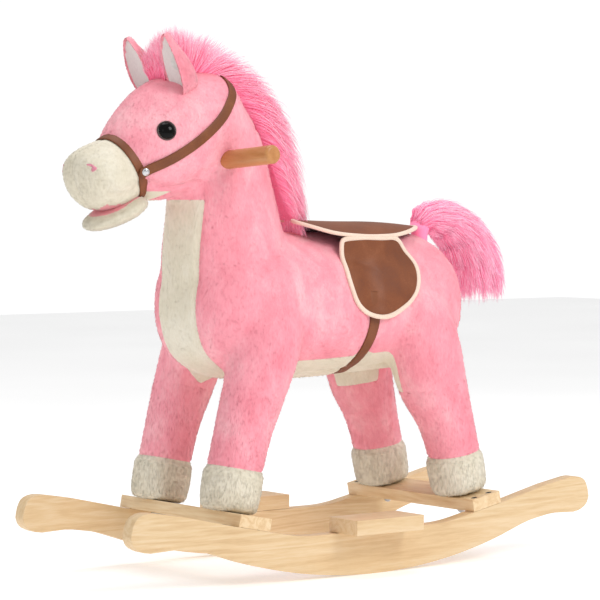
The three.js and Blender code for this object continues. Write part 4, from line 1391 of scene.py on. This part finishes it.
DENSITY = 1.0
count = int(6800 * DENSITY)
mane_piece = locks(
    "mane_locks", mane_lines(count, 2.0, 13.0, 14.5), chance.uniform(0.45, 0.95, count) * MM,
    mane_hair, chance.uniform(0, 1, count), "root",
)
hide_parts("mane")
count = int(2600 * DENSITY)
forelock = locks(
    "forelock_locks", mane_lines(count, 0.0, 2.6, 15), chance.uniform(0.35, 0.7, count) * MM,
    mane_hair, chance.uniform(0, 0.8, count), "root",
)

TAIL = [
    (-166, 414, 10, 13), (-182, 424, 19, 24), (-212, 422, 25, 33), (-242, 402, 29, 39), (-261, 371, 31, 41),
    (-270, 342, 30, 38), (-274, 318, 26, 32),
]


def tail_lines(count, steps=6):
    spine = np.array(TAIL, float)
    index = np.arange(len(spine))
    start = chance.uniform(0.0, 4.4, count)
    run = chance.uniform(1.0, 2.0, count)
    turn = chance.uniform(0, 2 * math.pi, count)
    # locks cling together by turn and start
    turn = turn + 0.25 * np.sin(turn * 9 + np.round(start * 3))
    depth = chance.uniform(0.35, 1.0, count) ** 0.6
    t = np.linspace(0, 1, steps)
    curve = np.empty((count, steps, 3))
    for k, share in enumerate(t):
        where = np.minimum(start + run * share, 6.0)
        over = np.maximum(start + run * share - 6.0, 0)
        x, z, thick, wide = (np.interp(where, index, column) for column in spine.T)
        ahead = np.array([np.interp(np.minimum(where + 0.05, 6), index, column) for column in spine.T[:2]])
        behind = np.array([np.interp(where - 0.05, index, column) for column in spine.T[:2]])
        along = ahead - behind
        along /= np.maximum(np.linalg.norm(along, axis=0), 1e-9)
        swell = depth * (0.82 + 0.30 * share)
        flat = np.cos(turn) * thick * swell
        curve[:, k, 0] = x - along[1] * flat + over * 4
        curve[:, k, 1] = np.sin(turn) * wide * swell
        curve[:, k, 2] = z + along[0] * flat - over * 16
    wave = np.sin(t[None, :, None] * 6 + chance.uniform(0, 6, count)[:, None, None]) * t[None, :, None] * 1.6
    curve += wave * chance.normal(0, 1, (count, 1, 3))
    return curve * MM


count = int(6400 * DENSITY)
tail_piece = locks(
    "tail_locks", tail_lines(count), chance.uniform(0.5, 1.0, count) * MM, tail_hair,
    chance.uniform(0, 1, count), "tail",
)
TAIL_LEAN = (75, 85, 105, 130, 150, 165, 170)
core = stuffed("tail_core", [
    (x, z, thick * share, wide * share, lean)
    for (x, z, thick, wide), lean, share in zip(TAIL[:6], TAIL_LEAN, (0.8, 0.78, 0.75, 0.65, 0.5, 0.25))
], 26, 2.0, 28)
done(core, "tail_core", tail_hair)
finish_piece(core, "tail", "tail", slot="hair", fill=0.7)
dock = stuffed("tail_dock", [
    (-172, 385, 8, 8, 0), (-172, 390, 10, 10, 0), (-172, 402, 10.5, 10.5, 0), (-172, 412, 13, 13, 0),
    (-172, 420, 9, 9, 0),
], 16, 2.0, 28)
finish_piece(done(dock, "tail_dock", tail_hair), "tail")


def skin_cap(host, middle):
    """Faces that only close a seam on the inside."""
    inside = np.zeros(len(middle), bool)
    if host is jaw or host.name.endswith("ear_plush"):
        return inside
    for i, point in enumerate(middle):
        inside[i] = skin.find_nearest(Vector(point))[3] > 0.003
    return inside


def pile(host, count, length, lie=0.85, width=0.00032, body="root"):
    """Single tufts of the pile, combed down and back, which give the plush its soft outline."""
    count = int(count * DENSITY)
    mesh = host.data
    mesh.calc_loop_triangles()
    triangles = np.array([t.vertices for t in mesh.loop_triangles if t.material_index == 0])
    co, normals = places(host), outward(host)
    a, b, c = (co[triangles[:, k]] for k in range(3))
    area = np.linalg.norm(np.cross(b - a, c - a), axis=1)
    middle = (a + b + c) / 3
    covered = skin_cap(host, middle)
    area = area * ~covered
    pick = chance.choice(len(triangles), count, p=area / area.sum())
    r1, r2 = np.sqrt(chance.uniform(0, 1, count)), chance.uniform(0, 1, count)
    weights = np.stack([1 - r1, r1 * (1 - r2), r1 * r2], axis=1)
    root = sum(weights[:, k:k + 1] * co[triangles[pick, k]] for k in range(3))
    out = sum(weights[:, k:k + 1] * normals[triangles[pick, k]] for k in range(3))
    out /= np.maximum(np.linalg.norm(out, axis=1, keepdims=True), 1e-9)
    comb = np.array((-0.25, 0, -1.0)) + chance.normal(0, 0.3, (count, 3))
    comb -= out * (comb * out).sum(1, keepdims=True)
    comb /= np.maximum(np.linalg.norm(comb, axis=1, keepdims=True), 1e-9)
    rise = chance.uniform(0.15, 0.4, count)[:, None]
    long = (length * chance.uniform(0.6, 1.15, count))[:, None]
    tip = root + (out * rise + comb * lie) * long
    side = np.cross(out, comb)
    points = np.stack([
        root + side * width - out * 0.0004, root - side * width - out * 0.0004,
        root + comb * width + out * width * 1.2, tip,
    ], axis=1).reshape(-1, 3)
    pattern = [(0, 1, 2), (0, 3, 1), (1, 3, 2), (2, 3, 0)]
    polygons = [tuple(base + i for i in face) for base in range(0, count * 4, 4) for face in pattern]
    tufts = from_points(f"{host.name}_tufts", points.tolist(), polygons)
    done(tufts, tufts.name, host.data.materials[0])
    tufts.data.normals_split_custom_set_from_vertices(np.repeat(out, 4, axis=0).tolist())
    return finish_piece(tufts, body)


pile(pieces["body"], 17000, 0.0034)
pile(pieces["head"], 7000, 0.0028)
pile(pieces["muzzle"], 2600, 0.0026)
pile(pieces["chest_and_belly_panel"], 3200, 0.0036)
for end in ENDS:
    for side in SIDES:
        pile(pieces[f"{end}_{side}_leg"], 2400, 0.0036)
        pile(pieces[f"{end}_{side}_hoof"], 2600, 0.0048)
pile(jaw, 2000, 0.0034, body="jaw")
for side in SIDES:
    pile(pieces[f"{side}_ear"], 1800, 0.0034)

# Floor, light and the end of the making
deselect()
bpy.ops.mesh.primitive_plane_add(size=12, location=(0, 0, 0))
floor = bpy.context.object
paper = Finish("studio paper", {
    "Roughness": 0.9, "Specular IOR Level": 0.1, "Emission Color": (1, 1, 1, 1), "Emission Strength": 0.3,
})
paper.link(paper.ramp(paper.noise(1.5, 2), [(0.3, 0xF4F4F4), (0.7, 0xFAFAFA)]), "Base Color")
done(floor, "studio_floor", paper.material)

BACKDROP_LIGHT = 0.62
BACKDROP_SEEN = 1.04
world = bpy.data.worlds.new("studio")
bpy.context.scene.world = world
world.use_nodes = True
world.node_tree.nodes["Background"].inputs["Color"].default_value = (1, 1, 1, 1)
# the backdrop is seen paper white, but lights the horse less
seen = world.node_tree.nodes.new("ShaderNodeLightPath")
paper_white = world.node_tree.nodes.new("ShaderNodeMath")
paper_white.operation = "MULTIPLY_ADD"
paper_white.inputs[1].default_value = BACKDROP_SEEN - BACKDROP_LIGHT
paper_white.inputs[2].default_value = BACKDROP_LIGHT
world.node_tree.links.new(seen.outputs["Is Camera Ray"], paper_white.inputs[0])
world.node_tree.links.new(paper_white.outputs[0], world.node_tree.nodes["Background"].inputs["Strength"])
softbox("key", (-0.5, 2.3, 2.0), (0, 0, 0.35), 1.3, 32)
softbox("front", (2.4, 1.5, 1.3), (0, 0, 0.3), 1.0, 1.5)
softbox("top", (0.1, -0.4, 2.6), (0, 0, 0.4), 1.8, 20)
